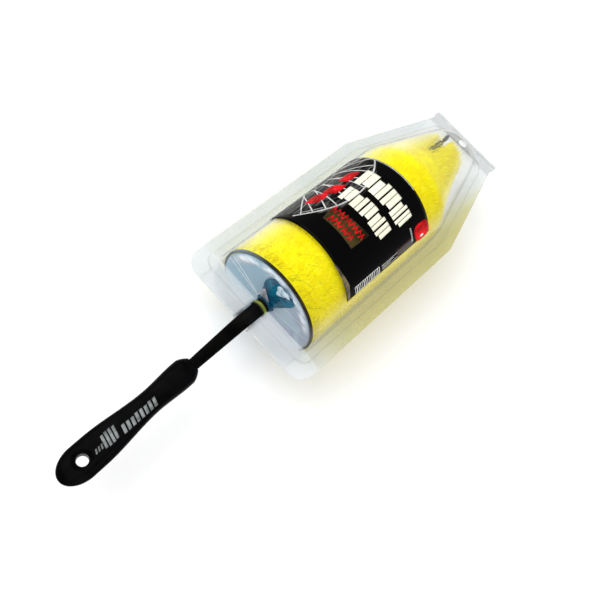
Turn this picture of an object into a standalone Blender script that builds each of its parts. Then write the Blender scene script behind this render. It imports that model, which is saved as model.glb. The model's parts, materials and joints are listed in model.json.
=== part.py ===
"""Wheel brush in its clear hinged display case.

The brush is a bullet of bristles on a twisted wire, with a sheathed stem and a flat teardrop
handle. The case is two thermoformed halves that close round the bristles like a book.
All lengths below are in millimetres, and MM turns them into metres.

Case frame: X = 0 at the case's near edge, +X from the handle to the tip, Y = 0 and Z = 0 on
the brush's axis, +Z through the front half of the case.
"""
import math

import bmesh
import bpy
from mathutils import Vector

MM = 0.001

# ---------------------------------------------------------------- driving dimensions
GAP = 0.3                 # between pieces that touch
SHEET = 0.6               # thermoformed sheet
CASE_DEPTH = 47.0         # brush axis down to the back half's flat bottom
ORIGIN_X = -62.0          # case frame's zero in the part's frame, which centres the part

FLANGE_HALF = 62.0        # flange half width along the straight stretch
FLANGE_CORNER = 14.0
TAPER_X = 180.0           # where flange and dome start to narrow
FLANGE_END_X = 272.6
FLANGE_END_HALF = 35.0
HEADER_HALF = 36.0
HEADER_X = 273.8
HINGE_X = 280.5
BEAD_R = 1.2

STEP_IN = 9.5             # plateau edge, inside the flange edge
STEP_RUN = 1.0
PLATEAU = 3.0             # plateau height over the axis plane
PLATEAU_NEAR_X = 11.5
PLATEAU_END_X = 269.0
PLATEAU_CORNER = 8.0

DOME_R = 46.0
DOME_NEAR_X = 20.4        # outer face of the D-shaped end wall
DOME_ROUND = 1.2
DRAFT = 1.0               # run of the steep walls
DOME_END_X = 266.6
DOME_END_R = 21.0         # half width of the far end
SLOPE_X = 252.0           # where the far end starts to slope down
SLOPE_HIGH = 26.0         # crown height there, and the tub's depth
SLOPE_LOW = 12.5          # crown height at the far end
TUB_CORNER = 24.0         # corner radius of the back half's box section

CHANNEL_R = 8.0           # half-round channel over the stem
HOLE_D = 8.0              # hang holes in header and handle
HEADER_HOLE_X = 274.6

STEM_R_NEAR = 5.5         # stem sheath where it enters the case
STEM_R_GRIP = 4.35        # stem sheath inside the handle
STEM_END_X = 27.0
SHEATH_START_X = -80.0
RING_START_X = 16.0
RING_END_X = 19.4
RING_THICK = 0.8
GRIP_TILT = math.radians(2.1)
GRIP_FRONT_X = -47.6
GRIP_END_X = -157.8
SHOULDER_X = -58.0
SHOULDER_HALF = 9.7
WAIST_X = -84.0
WAIST_HALF = 8.3
WIDEST_X = -131.0
WIDEST_HALF = 11.8
MOUTH_HALF = 5.4
MOUTH_LENGTH = 8.5
BUTT_LENGTH = 17.0        # length over which the butt rounds off
FRONT_THICK = 16.0
BUTT_THICK = 10.4
GRIP_SQUARE = 0.85        # below 1 squares the handle's oval section
GRIP_SIDES = 20
GRIP_RINGS = 17
DISH_D = 12.0             # dish round the hang hole, on both faces
DISH_DEPTH = 1.6
SOCKET_END_X = -86.5
SOCKET_OVERRUN = 2.0      # the socket's cutter runs out through the front by this much
HANG_X = -140.0

WIRE_R = 1.25
STRAND_OFFSET = 1.56
TWIST_PITCH = 26.0
WIRE_START_X = -85.0
WIRE_END_X = 243.0
BORE_R = 3.3              # hollow round both strands
TIP_SHIFT = (10.0, 15.0)  # the tip of the wire leans left and up
LEAN_START_X = 172.0
LEAN_END_X = 228.0
LOOP_R = 3.1              # vinyl-coated loop at the tip of the wire
LOOP_TUBE_R = 1.35
LOOP_NECK = 1.2           # straight stretch before the loop
LOOP_CENTRE = 4.2
LOOP_OPEN_DEG = 38.0      # the loop's open angle, each side of the wire

DISC_X = 25.4
DISC_THICK = 0.6
DISC_R = 42.2
HUB_START_X = 22.3
HUB_END_X = 25.0
HUB_R = 13.0
HUB_FRONT_R = 9.0
RIM_DEPTH = 2.2
HEAD_R = 44.4
FILL_START_X = 27.9
FILL_STRAIGHT_END_X = 176.0
FILL_RINGS = 4
NOSE_END_X = 242.6
NOSE_END_R = 24.0
NOSE_ROUND = 2.0
ROOT_DEPTH = 8.0          # length of the dark fringe at the root of the bristles

LABEL_NEAR_X = 61.5
LABEL_SKEW = 5.0          # the near edge is applied this much out of square
LABEL_FAR_X = 159.0
LABEL_LEFT_DEG = 17.0
LABEL_RIGHT_DEG = 150.0
LABEL_THICK = 0.25

HALF_ARC = 8              # facets in a quarter of a case section
ROUND = 40                # facets round a large turned piece


# ---------------------------------------------------------------- scene helpers
def clear_scene():
    for old in list(bpy.data.objects):
        bpy.data.objects.remove(old)


def new_collection(name):
    made = bpy.data.collections.new(name)
    bpy.context.scene.collection.children.link(made)
    return made


def material(name, colour, roughness, metallic=0.0, alpha=1.0):
    made = bpy.data.materials.new(name)
    made.use_nodes = True
    shader = made.node_tree.nodes["Principled BSDF"]
    shader.inputs["Base Color"].default_value = (*colour, 1.0)
    shader.inputs["Roughness"].default_value = roughness
    shader.inputs["Metallic"].default_value = metallic
    shader.inputs["Alpha"].default_value = alpha
    made.diffuse_color = (*colour, alpha)
    return made


def add_empty(name, place, parent=None, turn_z=0.0):
    made = bpy.data.objects.new(name, None)
    made.location = Vector(place) * MM
    made.rotation_euler = (0.0, 0.0, turn_z)
    made.parent = parent
    PARTS.objects.link(made)
    return made


def add_mesh(name, mesh, finish, parent, smooth_deg=40.0):
    made = bpy.data.objects.new(name, mesh)
    mesh.materials.append(finish)
    mesh.shade_smooth()
    mesh.set_sharp_from_angle(angle=math.radians(smooth_deg))
    PARTS.objects.link(made)
    made.parent = parent
    return made


def add_cutter(made, parent):
    for holder in list(made.users_collection):
        holder.objects.unlink(made)
    CUTTERS.objects.link(made)
    made.parent = parent
    made.hide_render = True
    made.display_type = "WIRE"
    return made


def cut(target, cutter, solver="EXACT"):
    boolean = target.modifiers.new("cut_" + cutter.name, "BOOLEAN")
    boolean.operation = "DIFFERENCE"
    boolean.solver = solver
    boolean.object = cutter


def in_case_frame(made, frame_x):
    """Keep a mesh drawn in the case frame in place under an empty that stands at frame_x."""
    made.location = Vector((-frame_x, 0.0, 0.0)) * MM


# ---------------------------------------------------------------- shape helpers
def smooth_step(t):
    t = min(max(t, 0.0), 1.0)
    return t * t * (3.0 - 2.0 * t)


def between(x, x0, y0, x1, y1):
    t = min(max((x - x0) / (x1 - x0), 0.0), 1.0)
    return y0 + (y1 - y0) * t


def corner_inset(distance, radius):
    """How much a rounded corner takes off the side, at a distance from the end edge."""
    distance = min(max(distance, 0.0), radius)
    return radius - math.sqrt(radius ** 2 - (radius - distance) ** 2)


def grid_mesh(name, rows, outward):
    """A sheet of quads through rows of points; outward tells which side faces out."""
    bm = bmesh.new()
    lines = [[bm.verts.new(Vector(p) * MM) for p in row] for row in rows]
    for lower, upper in zip(lines, lines[1:]):
        for i in range(len(lower) - 1):
            bm.faces.new((lower[i], lower[i + 1], upper[i + 1], upper[i]))
    bm.normal_update()
    lean = sum((f.normal * f.calc_area() for f in bm.faces), Vector())
    if lean.dot(Vector(outward)) < 0.0:
        bmesh.ops.reverse_faces(bm, faces=bm.faces)
    mesh = bpy.data.meshes.new(name)
    bm.to_mesh(mesh)
    bm.free()
    return mesh


def thicken(made, thickness):
    solid = made.modifiers.new("thickness", "SOLIDIFY")
    solid.thickness = thickness * MM
    solid.offset = -1.0


def turned_ring(name, profile, finish, parent, steps=ROUND):
    """Turn a closed (x, radius) profile about the X axis.

    The profile runs down the outer side first, as seen with the X axis pointing up.
    """
    mesh = bpy.data.meshes.new(name)
    points = [(r * MM, 0.0, x * MM) for x, r in profile]
    count = len(points)
    mesh.from_pydata(points, [(i, (i + 1) % count) for i in range(count)], [])
    made = bpy.data.objects.new(name, mesh)
    mesh.materials.append(finish)
    PARTS.objects.link(made)
    made.parent = parent
    made.rotation_euler = (0.0, math.pi / 2, 0.0)
    screw = made.modifiers.new("turn", "SCREW")
    screw.axis = "Z"
    screw.angle = math.tau
    screw.steps = steps
    screw.render_steps = steps
    screw.use_merge_vertices = True
    screw.merge_threshold = 0.00005
    screw.use_smooth_shade = True
    return made


def tube_mesh(name, points, radius, resolution, radii=None):
    """A closed tube along a polyline, as a mesh with welded caps."""
    curve = bpy.data.curves.new(name, "CURVE")
    curve.dimensions = "3D"
    curve.bevel_depth = radius * MM
    curve.bevel_resolution = resolution
    curve.use_fill_caps = True
    spline = curve.splines.new("POLY")
    spline.points.add(len(points) - 1)
    for i, place in enumerate(points):
        spline.points[i].co = (*(Vector(place) * MM), 1.0)
        spline.points[i].radius = radii[i] / radius if radii else 1.0
    source = bpy.data.objects.new(name, curve)
    bpy.context.scene.collection.objects.link(source)
    bpy.context.view_layer.update()
    depsgraph = bpy.context.evaluated_depsgraph_get()
    mesh = bpy.data.meshes.new_from_object(source.evaluated_get(depsgraph))
    bpy.data.objects.remove(source)
    bm = bmesh.new()
    bm.from_mesh(mesh)
    bmesh.ops.remove_doubles(bm, verts=bm.verts, dist=0.00001)
    bmesh.ops.recalc_face_normals(bm, faces=bm.faces)
    bm.to_mesh(mesh)
    bm.free()
    return mesh


def rings_to_mesh(name, bm, rings):
    """Skin closed rings of points with equal counts, and close both ends."""
    for first, second in zip(rings, rings[1:]):
        for k in range(len(first)):
            bm.faces.new((first[k], first[k - 1], second[k - 1], second[k]))
    bm.faces.new(rings[0])
    bm.faces.new(rings[-1])
    bmesh.ops.recalc_face_normals(bm, faces=bm.faces)
    mesh = bpy.data.meshes.new(name)
    bm.to_mesh(mesh)
    bm.free()
    return mesh


def rod_cutter(name, radius, length, place, turn, parent, segments=28):
    bpy.ops.mesh.primitive_cylinder_add(vertices=segments, radius=radius * MM, depth=length * MM)
    made = bpy.context.object
    made.name = name
    made.location = Vector(place) * MM
    made.rotation_euler = turn
    return add_cutter(made, parent)


# ---------------------------------------------------------------- case outline
def flange_half(x):
    if x >= HEADER_X:
        return HEADER_HALF
    if x > TAPER_X:
        return between(x, TAPER_X, FLANGE_HALF, FLANGE_END_X, FLANGE_END_HALF)
    return FLANGE_HALF - corner_inset(max(x, 0.0), FLANGE_CORNER)


def plateau_half(x):
    straight = between(x, TAPER_X, FLANGE_HALF, FLANGE_END_X, FLANGE_END_HALF) - STEP_IN
    near = corner_inset(x - PLATEAU_NEAR_X, PLATEAU_CORNER)
    far = corner_inset(PLATEAU_END_X - x, PLATEAU_CORNER)
    return straight - near - far


def dome_half(x):
    return between(x, TAPER_X, DOME_R, DOME_END_X, DOME_END_R)


def crown_height(x):
    if x > SLOPE_X:
        return between(x, SLOPE_X, SLOPE_HIGH, DOME_END_X, SLOPE_LOW)
    return between(x, TAPER_X, DOME_R, SLOPE_X, SLOPE_HIGH)


def dome_points(half, base, height):
    """Quarter of the front half's round section, from the base up to the crown."""
    start = math.asin(min(base / height, 1.0))
    turn = (math.pi / 2 - start) / HALF_ARC
    return [(half * math.cos(start + turn * k), height * math.sin(start + turn * k))
            for k in range(HALF_ARC + 1)]


def tub_points(half, base, depth):
    """Half of the back half's box section with a round corner, as positive depths."""
    corner = min(TUB_CORNER * half / DOME_R, depth - base - STEP_RUN)
    wall_end = depth - corner
    points = [(half, base), (half, (base + wall_end) / 2)]
    for k in range(5):
        turn = k * math.pi / 8
        points.append((half - corner + corner * math.cos(turn), wall_end + corner * math.sin(turn)))
    flat = half - corner
    return points + [(flat / 2, depth), (0.0, depth)]


def channel_points(half, base):
    """The level ground beside the stem, then the half-round channel over it."""
    level = [(half + (CHANNEL_R - half) * k / 4, base) for k in range(4)]
    start = math.asin(base / CHANNEL_R)
    turn = (math.pi / 2 - start) / 4
    return level + [(CHANNEL_R * math.cos(start + turn * k), CHANNEL_R * math.sin(start + turn * k))
                    for k in range(5)]


def level_points(half, base):
    return [(half * (1 - k / HALF_ARC), base) for k in range(HALF_ARC + 1)]


def case_rows(section, side):
    """Rows of points along X for one half of the case.

    section(x) gives the hollow's quarter section, and side is +1 for the front half.
    """
    flange = GAP / 2 + SHEET

    def ground(x):
        return min(DOME_R - DOME_ROUND - DRAFT, plateau_half(max(x, PLATEAU_NEAR_X)) - STEP_RUN)

    def row(x, level, hollow):
        rim = flange_half(x)
        if level > flange:
            step = plateau_half(x)
            border = [(rim, flange), (step + STEP_RUN, flange), (step, level)]
        else:
            step = min(plateau_half(max(x, PLATEAU_NEAR_X)), rim - STEP_RUN * 3)
            border = [(rim, level), (step + STEP_RUN, level), (step, level)]
        quarter = border + hollow
        full = quarter + [(-y, z) for y, z in reversed(quarter[:-1])]
        return [(x, y, side * z) for y, z in full]

    rows = [row(0.0, flange, channel_points(ground(0.0), flange))]
    for x in (1.2, 4.0, 8.5, PLATEAU_NEAR_X - STEP_RUN):
        rows.append(row(x, flange, channel_points(ground(x), flange)))
    for x in (PLATEAU_NEAR_X, PLATEAU_NEAR_X + 1.5, PLATEAU_NEAR_X + 5.0):
        rows.append(row(x, PLATEAU, channel_points(ground(x), PLATEAU)))
    foot = DOME_NEAR_X - DRAFT
    rows.append(row(foot, PLATEAU, channel_points(ground(foot), PLATEAU)))
    rows.append(row(DOME_NEAR_X, PLATEAU, section(DOME_NEAR_X, DOME_ROUND)))
    rows.append(row(DOME_NEAR_X + DOME_ROUND, PLATEAU, section(DOME_NEAR_X, 0.0)))
    for x in (70.0, 125.0, TAPER_X, 204.0, 228.0, SLOPE_X, DOME_END_X - 6.0):
        rows.append(row(x, PLATEAU, section(x, 0.0)))
    rows.append(row(DOME_END_X - 2.0, PLATEAU, section(DOME_END_X, DOME_ROUND)))
    rows.append(row(DOME_END_X - DRAFT, PLATEAU, section(DOME_END_X, DOME_ROUND * 2.5)))
    end_half = DOME_END_R - DOME_ROUND * 2.5 - DRAFT
    rows.append(row(DOME_END_X, PLATEAU, level_points(end_half, PLATEAU)))
    for x in (PLATEAU_END_X + STEP_RUN, FLANGE_END_X, HEADER_X, HINGE_X - BEAD_R - GAP):
        rows.append(row(x, flange, level_points(end_half, flange)))
    return rows


def front_section(x, shrink):
    return dome_points(dome_half(x) - shrink, PLATEAU, crown_height(x) - shrink)


def back_section(x, shrink):
    half = dome_half(x) - shrink
    depth = crown_height(x) + (CASE_DEPTH - DOME_R) - shrink
    return tub_points(half, PLATEAU, depth)


def make_case(case, lid):
    clear = material("clear_sheet", (0.86, 0.9, 0.9), 0.08, alpha=0.3)
    hole_place = (HEADER_HOLE_X, 0.0, 0.0)
    hole = rod_cutter("header_hole", HOLE_D / 2, 20.0, hole_place, (0, 0, 0), case)
    back = add_mesh("back_shell", grid_mesh("back_shell", case_rows(back_section, -1), (0, 0, -1)),
                    clear, case)
    thicken(back, SHEET)
    cut(back, hole, "MANIFOLD")
    front = add_mesh("front_shell", grid_mesh("front_shell", case_rows(front_section, 1), (0, 0, 1)),
                     clear, lid)
    in_case_frame(front, HINGE_X)
    thicken(front, SHEET)
    cut(front, hole, "MANIFOLD")
    bead_ends = [(HINGE_X, -HEADER_HALF, 0.0), (HINGE_X, HEADER_HALF, 0.0)]
    add_mesh("living_hinge", tube_mesh("living_hinge", bead_ends, BEAD_R, 3), clear, case)


def make_label(lid):
    ink = material("printed_label", (0.02, 0.02, 0.02), 0.3)
    radius = DOME_R + GAP + LABEL_THICK
    turns = [math.radians(LABEL_LEFT_DEG + (LABEL_RIGHT_DEG - LABEL_LEFT_DEG) * k / 22)
             for k in range(23)]
    rows = []
    for along in (0.0, 0.5, 1.0):
        row = []
        for k, turn in enumerate(turns):
            near = LABEL_NEAR_X + LABEL_SKEW * (1.0 - k / (len(turns) - 1))
            x = near + (LABEL_FAR_X - near) * along
            row.append((x, radius * math.cos(turn), radius * math.sin(turn)))
        rows.append(row)
    label = add_mesh("wrap_label", grid_mesh("wrap_label", rows, (0, 0, 1)), ink, lid)
    in_case_frame(label, HINGE_X)
    thicken(label, LABEL_THICK)


# ---------------------------------------------------------------- wire core
def core_centre(x):
    """Centre of the twisted wire: bent at the stem, straight in the head, leaning at the tip."""
    lean = smooth_step((x - LEAN_START_X) / (LEAN_END_X - LEAN_START_X))
    side = math.tan(GRIP_TILT) * min(x, 0.0)
    return Vector((x, side + TIP_SHIFT[0] * lean, TIP_SHIFT[1] * lean))


def core_path(start, end, step):
    count = max(2, round((end - start) / step))
    return [core_centre(start + (end - start) * k / count) for k in range(count + 1)]


def strand_points(phase):
    points = []
    for centre in core_path(WIRE_START_X, WIRE_END_X, TWIST_PITCH / 7):
        turn = phase + math.tau * (centre.x - WIRE_START_X) / TWIST_PITCH
        points.append(centre + Vector((0.0, math.cos(turn), math.sin(turn))) * STRAND_OFFSET)
    return points


def make_core(brush):
    steel = material("twisted_steel", (0.42, 0.43, 0.42), 0.35, metallic=1.0)
    vinyl = material("tip_vinyl", (0.02, 0.03, 0.02), 0.35)
    for number, phase in ((1, 0.0), (2, math.pi)):
        name = f"wire_strand_{number}"
        add_mesh(name, tube_mesh(name, strand_points(phase), WIRE_R, 2), steel, brush)
    root = core_centre(WIRE_END_X) + Vector((GAP * 3, 0.0, 0.0))
    first_turn = math.radians(180.0 - LOOP_OPEN_DEG)
    foot = LOOP_R * math.sin(first_turn)
    neck = [root + Vector((0.0, 0.0, foot)), root + Vector((LOOP_NECK, 0.0, foot))]
    bow = []
    for k in range(17):
        turn = first_turn * (1.0 - k / 8)
        bow.append(root + Vector((LOOP_CENTRE + LOOP_R * math.cos(turn), 0.0, LOOP_R * math.sin(turn))))
    tail = [Vector((p.x, p.y, 2 * root.z - p.z)) for p in reversed(neck)]
    points = neck + bow + tail
    add_mesh("tip_loop", tube_mesh("tip_loop", points, LOOP_TUBE_R, 2), vinyl, brush)


# ---------------------------------------------------------------- stem and handle
def make_stem(brush):
    black = material("stem_sheath", (0.012, 0.012, 0.012), 0.32)
    ring = material("stop_ring", (0.55, 0.62, 0.08), 0.4)
    places = (SHEATH_START_X, GRIP_FRONT_X, -25.0, 0.0, 12.0, STEM_END_X)
    radii = [between(x, GRIP_FRONT_X, STEM_R_GRIP, 0.0, STEM_R_NEAR) for x in places]
    points = [core_centre(x) for x in places]
    sheath = add_mesh("stem_sheath", tube_mesh("stem_sheath", points, STEM_R_NEAR, 5, radii),
                      black, brush)
    bore_places = [core_centre(x) for x in (WIRE_START_X - 5.0, 0.0, STEM_END_X + 5.0)]
    bore = bpy.data.objects.new("sheath_bore", tube_mesh("sheath_bore", bore_places, BORE_R, 3))
    cut(sheath, add_cutter(bore, brush))
    bore_r = STEM_R_NEAR + GAP
    ring_r = bore_r + RING_THICK
    turned_ring("stop_ring", [(RING_END_X, ring_r), (RING_START_X, ring_r), (RING_START_X, bore_r),
                              (RING_END_X, bore_r)], ring, brush, 32)


def grip_section(x):
    """Half width and half thickness of the handle at x, on a smooth teardrop outline."""
    from_butt = min((x - GRIP_END_X) / BUTT_LENGTH, 1.0)
    close = math.sqrt(max(0.0, from_butt * (2.0 - from_butt)))
    swell = smooth_step((WAIST_X - x) / (WAIST_X - WIDEST_X))
    shoulder = smooth_step((x - WAIST_X) / (SHOULDER_X - WAIST_X))
    half = WAIST_HALF + (WIDEST_HALF - WAIST_HALF) * swell + (SHOULDER_HALF - WAIST_HALF) * shoulder
    mouth = math.sqrt(smooth_step((GRIP_FRONT_X + 0.8 - x) / MOUTH_LENGTH))
    half = MOUTH_HALF + (half - MOUTH_HALF) * mouth
    thick = between(x, SHOULDER_X, FRONT_THICK, HANG_X, BUTT_THICK) / 2
    thick = MOUTH_HALF + (thick - MOUTH_HALF) * mouth
    return half * close, thick * close


def make_grip(brush, grip):
    black = material("handle_black", (0.01, 0.01, 0.01), 0.38)
    steel = material("ferrule_steel", (0.5, 0.5, 0.5), 0.4, metallic=1.0)
    length = GRIP_FRONT_X - GRIP_END_X
    shares = [0.5 - 0.5 * math.cos(math.pi * (0.06 + 0.925 * k / GRIP_RINGS))
              for k in range(GRIP_RINGS + 1)]
    bm = bmesh.new()
    rings = []
    for share in [0.0] + shares:
        x = GRIP_FRONT_X - length * share
        half, thick = grip_section(x)
        ring = []
        for k in range(GRIP_SIDES):
            turn = math.tau * k / GRIP_SIDES
            across = math.copysign(abs(math.cos(turn)) ** GRIP_SQUARE, math.cos(turn))
            upward = math.copysign(abs(math.sin(turn)) ** GRIP_SQUARE, math.sin(turn))
            ring.append(bm.verts.new(Vector((x, half * across, thick * upward)) * MM))
        rings.append(ring)
    mesh = rings_to_mesh("handle_grip", bm, rings)
    handle = add_mesh("handle_grip", mesh, black, grip)
    socket_length = GRIP_FRONT_X - SOCKET_END_X + SOCKET_OVERRUN
    socket = rod_cutter("handle_socket", STEM_R_GRIP + GAP, socket_length,
                        (SOCKET_END_X + socket_length / 2, 0, 0), (0, math.pi / 2, 0), grip)
    hang = rod_cutter("handle_hole", HOLE_D / 2, 40.0, (HANG_X, 0, 0), (0, 0, 0), grip)
    cut(handle, socket)
    cut(handle, hang)
    for side, label in ((1, "upper"), (-1, "lower")):
        bpy.ops.mesh.primitive_cone_add(vertices=30, radius1=DISH_D / 2 * MM, depth=DISH_DEPTH * 2 * MM,
                                        radius2=(DISH_D / 2 + DISH_DEPTH) * MM)
        dish = bpy.context.object
        dish.name = label + "_dish"
        dish.location = Vector((HANG_X, 0.0, side * BUTT_THICK / 2)) * MM
        dish.rotation_euler = (0.0 if side > 0 else math.pi, 0.0, 0.0)
        cut(handle, add_cutter(dish, grip))
    ferrule_end = SHEATH_START_X - GAP
    ferrule_bore = BORE_R + 0.1
    turned_ring("crimp_ferrule", [(ferrule_end, STEM_R_GRIP), (WIRE_START_X, STEM_R_GRIP),
                                  (WIRE_START_X, ferrule_bore), (ferrule_end, ferrule_bore)],
                steel, grip, 28)


# ---------------------------------------------------------------- bristle head
def make_head(brush):
    yellow = material("bristle_yellow", (0.9, 0.82, 0.01), 0.6)
    dark = material("bristle_root_dark", (0.25, 0.22, 0.03), 0.7)
    grey = material("end_disc_film", (0.42, 0.55, 0.62), 0.2)
    black = material("disc_rim_black", (0.02, 0.018, 0.015), 0.35)
    teal = material("hub_teal", (0.0, 0.12, 0.2), 0.3)

    hole = STEM_R_NEAR + GAP + 0.1
    disc_back = DISC_X + DISC_THICK
    rim_back = DISC_X + RIM_DEPTH
    turned_ring("hub_cone", [(HUB_END_X, HUB_R), (HUB_START_X, HUB_FRONT_R), (HUB_START_X, hole),
                             (HUB_END_X, hole)], teal, brush, 32)
    turned_ring("end_disc", [(disc_back, DISC_R), (DISC_X, DISC_R), (DISC_X, hole),
                             (disc_back, hole)], grey, brush)
    turned_ring("disc_rim", [(rim_back, HEAD_R), (DISC_X, HEAD_R - 0.3), (DISC_X, DISC_R + GAP),
                             (rim_back, DISC_R + GAP)], black, brush)

    root_end = FILL_START_X + ROOT_DEPTH
    turned_ring("bristle_root", [(root_end, HEAD_R), (FILL_START_X, HEAD_R),
                                 (FILL_START_X, BORE_R), (root_end, BORE_R)], dark, brush)
    pitch = (FILL_STRAIGHT_END_X - root_end) / FILL_RINGS
    for number in range(1, FILL_RINGS + 1):
        near = root_end + pitch * (number - 1) + GAP
        far = root_end + pitch * number
        turned_ring(f"bristle_ring_{number}", [(far, HEAD_R), (near, HEAD_R), (near, BORE_R),
                                               (far, BORE_R)], yellow, brush)
    start = FILL_STRAIGHT_END_X + GAP
    outline = [(start, HEAD_R), (TAPER_X, HEAD_R), (NOSE_END_X - NOSE_ROUND, NOSE_END_R),
               (NOSE_END_X, NOSE_END_R - NOSE_ROUND)]
    bm = bmesh.new()
    rings = [[bm.verts.new(Vector((x, radius * math.cos(math.tau * k / ROUND),
                                   radius * math.sin(math.tau * k / ROUND))) * MM)
              for k in range(ROUND)] for x, radius in outline]
    nose = add_mesh("bristle_nose", rings_to_mesh("bristle_nose", bm, rings), yellow, brush)
    overrun = 4.0
    path = core_path(FILL_STRAIGHT_END_X - overrun, NOSE_END_X + overrun, 6.0)
    bore = bpy.data.objects.new("nose_bore", tube_mesh("nose_bore", path, BORE_R, 3))
    cut(nose, add_cutter(bore, brush))


# ---------------------------------------------------------------- assembly
clear_scene()
PARTS = new_collection("wheel_brush")
CUTTERS = new_collection("cutters")


def main():
    case = add_empty("case_frame", (ORIGIN_X, 0.0, CASE_DEPTH))
    lid = add_empty("lid_axis", (HINGE_X, 0.0, 0.0), case)
    brush = add_empty("brush_axis", (0.0, 0.0, 0.0), case)
    grip = add_empty("grip_frame", (0.0, 0.0, 0.0), brush, GRIP_TILT)
    make_case(case, lid)
    make_label(lid)
    make_core(brush)
    make_stem(brush)
    make_grip(brush, grip)
    make_head(brush)


main()
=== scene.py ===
import json
import math

import bpy
import numpy as np
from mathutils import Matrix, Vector

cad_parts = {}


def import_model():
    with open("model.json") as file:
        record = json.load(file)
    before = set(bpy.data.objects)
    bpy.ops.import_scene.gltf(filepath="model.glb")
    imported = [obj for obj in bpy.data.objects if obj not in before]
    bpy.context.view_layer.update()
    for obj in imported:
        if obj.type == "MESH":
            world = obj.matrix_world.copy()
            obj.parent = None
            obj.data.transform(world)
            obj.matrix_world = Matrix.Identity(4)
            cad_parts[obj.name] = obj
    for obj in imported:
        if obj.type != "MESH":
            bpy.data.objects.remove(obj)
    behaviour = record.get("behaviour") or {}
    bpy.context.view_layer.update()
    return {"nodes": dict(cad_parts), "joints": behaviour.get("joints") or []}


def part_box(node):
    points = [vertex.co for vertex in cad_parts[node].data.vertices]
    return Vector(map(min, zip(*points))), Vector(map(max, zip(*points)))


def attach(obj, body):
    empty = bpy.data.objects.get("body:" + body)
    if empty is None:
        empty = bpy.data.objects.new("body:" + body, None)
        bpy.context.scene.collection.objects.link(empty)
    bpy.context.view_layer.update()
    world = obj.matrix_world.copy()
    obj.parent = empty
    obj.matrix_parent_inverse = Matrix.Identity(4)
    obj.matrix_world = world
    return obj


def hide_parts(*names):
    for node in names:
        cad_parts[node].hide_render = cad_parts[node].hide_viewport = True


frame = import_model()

# ---------------- frame and driving sizes
MM = 0.001
GAP = 0.3
SHEET = 0.5
HINGE_X = 280.5

hinge = next(joint for joint in frame["joints"] if joint["name"] == "lid_hinge")
ZERO = np.array([hinge["pos_m"][0] / MM - HINGE_X, 0.0, hinge["pos_m"][2] / MM])


def node_size(node, axis):
    """Lowest and highest millimetre of a CAD node along one axis, in the case frame."""
    low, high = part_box(node)
    return low[axis] / MM - ZERO[axis], high[axis] / MM - ZERO[axis]


FLANGE_HALF = node_size("front_shell", 1)[1]
DOME_R = node_size("front_shell", 2)[1]
CASE_DEPTH = -node_size("back_shell", 2)[0]
HEAD_R = node_size("bristle_ring_1", 2)[1]
DISC_R = node_size("end_disc", 2)[1]
DISC_X = node_size("end_disc", 0)[0]
LABEL_FAR_X = node_size("wrap_label", 0)[1]
WIRE_START_X, WIRE_END_X = node_size("wire_strand_1", 0)
ROOT_X, ROOT_END_X = node_size("bristle_root", 0)
NOSE_X, NOSE_END_X = node_size("bristle_nose", 0)
STEM_END_X = node_size("stem_sheath", 0)[1]

# the case: its flat border, the raised plateau, the dome and the tub
FLANGE_CORNER = 14.0
TAPER_X = 180.0
FLANGE_END_X = 272.6
FLANGE_END_HALF = 35.0
HEADER_HALF = 36.0
HEADER_X = 273.8
HEADER_HOLE_X = 274.6
BEAD_R = 1.2
STEP_IN = 9.5
FLANGE_TOP = GAP / 2 + SHEET
PLATEAU = 3.0
PLATEAU_NEAR_X = 11.5
PLATEAU_END_X = 269.0
PLATEAU_CORNER = 8.0
DOME_NEAR_X = 20.4
DOME_ROUND = 1.6
DRAFT = 1.0
DOME_END_X = 266.6
DOME_END_R = 21.0
DOME_END_ROUND = 2.6
DOME_END_FOOT = DOME_END_R - DOME_END_ROUND - DRAFT
SLOPE_X = 252.0
SLOPE_HIGH = 26.0
SLOPE_LOW = 12.5
TUB_CORNER = 24.0
CHANNEL_R = 8.0
HOLLOW_STEPS = 30
HOLE_R = 4.0

# the label, in degrees round the dome from the left-hand side
LABEL_NEAR_X = 61.5
LABEL_SKEW = 5.0
LABEL_LEFT_DEG = 17.0
LABEL_RIGHT_DEG = 150.0
LABEL_R = DOME_R + GAP
LABEL_THICK = 0.25
ARC = math.radians(1.0) * LABEL_R      # millimetres round the label for one degree

# the bristles, and the wire that leans inside their nose
HEAD_END_X = 262.0
HEAD_END_HALF = 15.5
HEAD_END_HIGH = 17.0
HEAD_END_DEEP = 15.0
TIP_SHIFT = (10.0, 15.0)
LEAN_START_X = 172.0
LEAN_END_X = 228.0
TWIST_PITCH = 26.0
STRAND_OFFSET = 1.56
WIRE_R = 1.25

# the stem and the handle
STEM_R_NEAR = 5.5
STEM_R_GRIP = 4.35
SHEATH_START_X = -80.0
BORE_R = 3.4
GRIP_TILT = math.radians(2.1)
GRIP_FRONT_X = -47.6
GRIP_END_X = -157.8
GRIP_MOUTH_R = 5.4
GRIP_WAIST_HALF = 8.3
SOCKET_END_X = -86.5
HANG_X = -140.0
SHOULDER_X = -58.0
WAIST_X = -84.0
WIDEST_X = -131.0

# the film: the room in front of the disc, and its sharp folds as two (y, z) ends and a strength
FILM_NEAR_X = 21.6
FILM_FAR_X = 25.0
CREASE_WIDTH = 0.42
CREASES = (((41.0, 7.0), (8.0, -1.0), 1.0), ((39.0, 13.0), (8.0, 0.5), 1.0), ((7.5, 2.0), (5.5, 17.0), 1.0),
           ((-9.0, -1.0), (-38.0, 5.0), 0.45), ((-14.0, 14.0), (-36.0, 17.0), 0.45))


# ---------------- mesh helpers
def world(points):
    """Case-frame millimetres to the row frame's metres."""
    return (np.asarray(points, float) + ZERO) * MM


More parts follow.
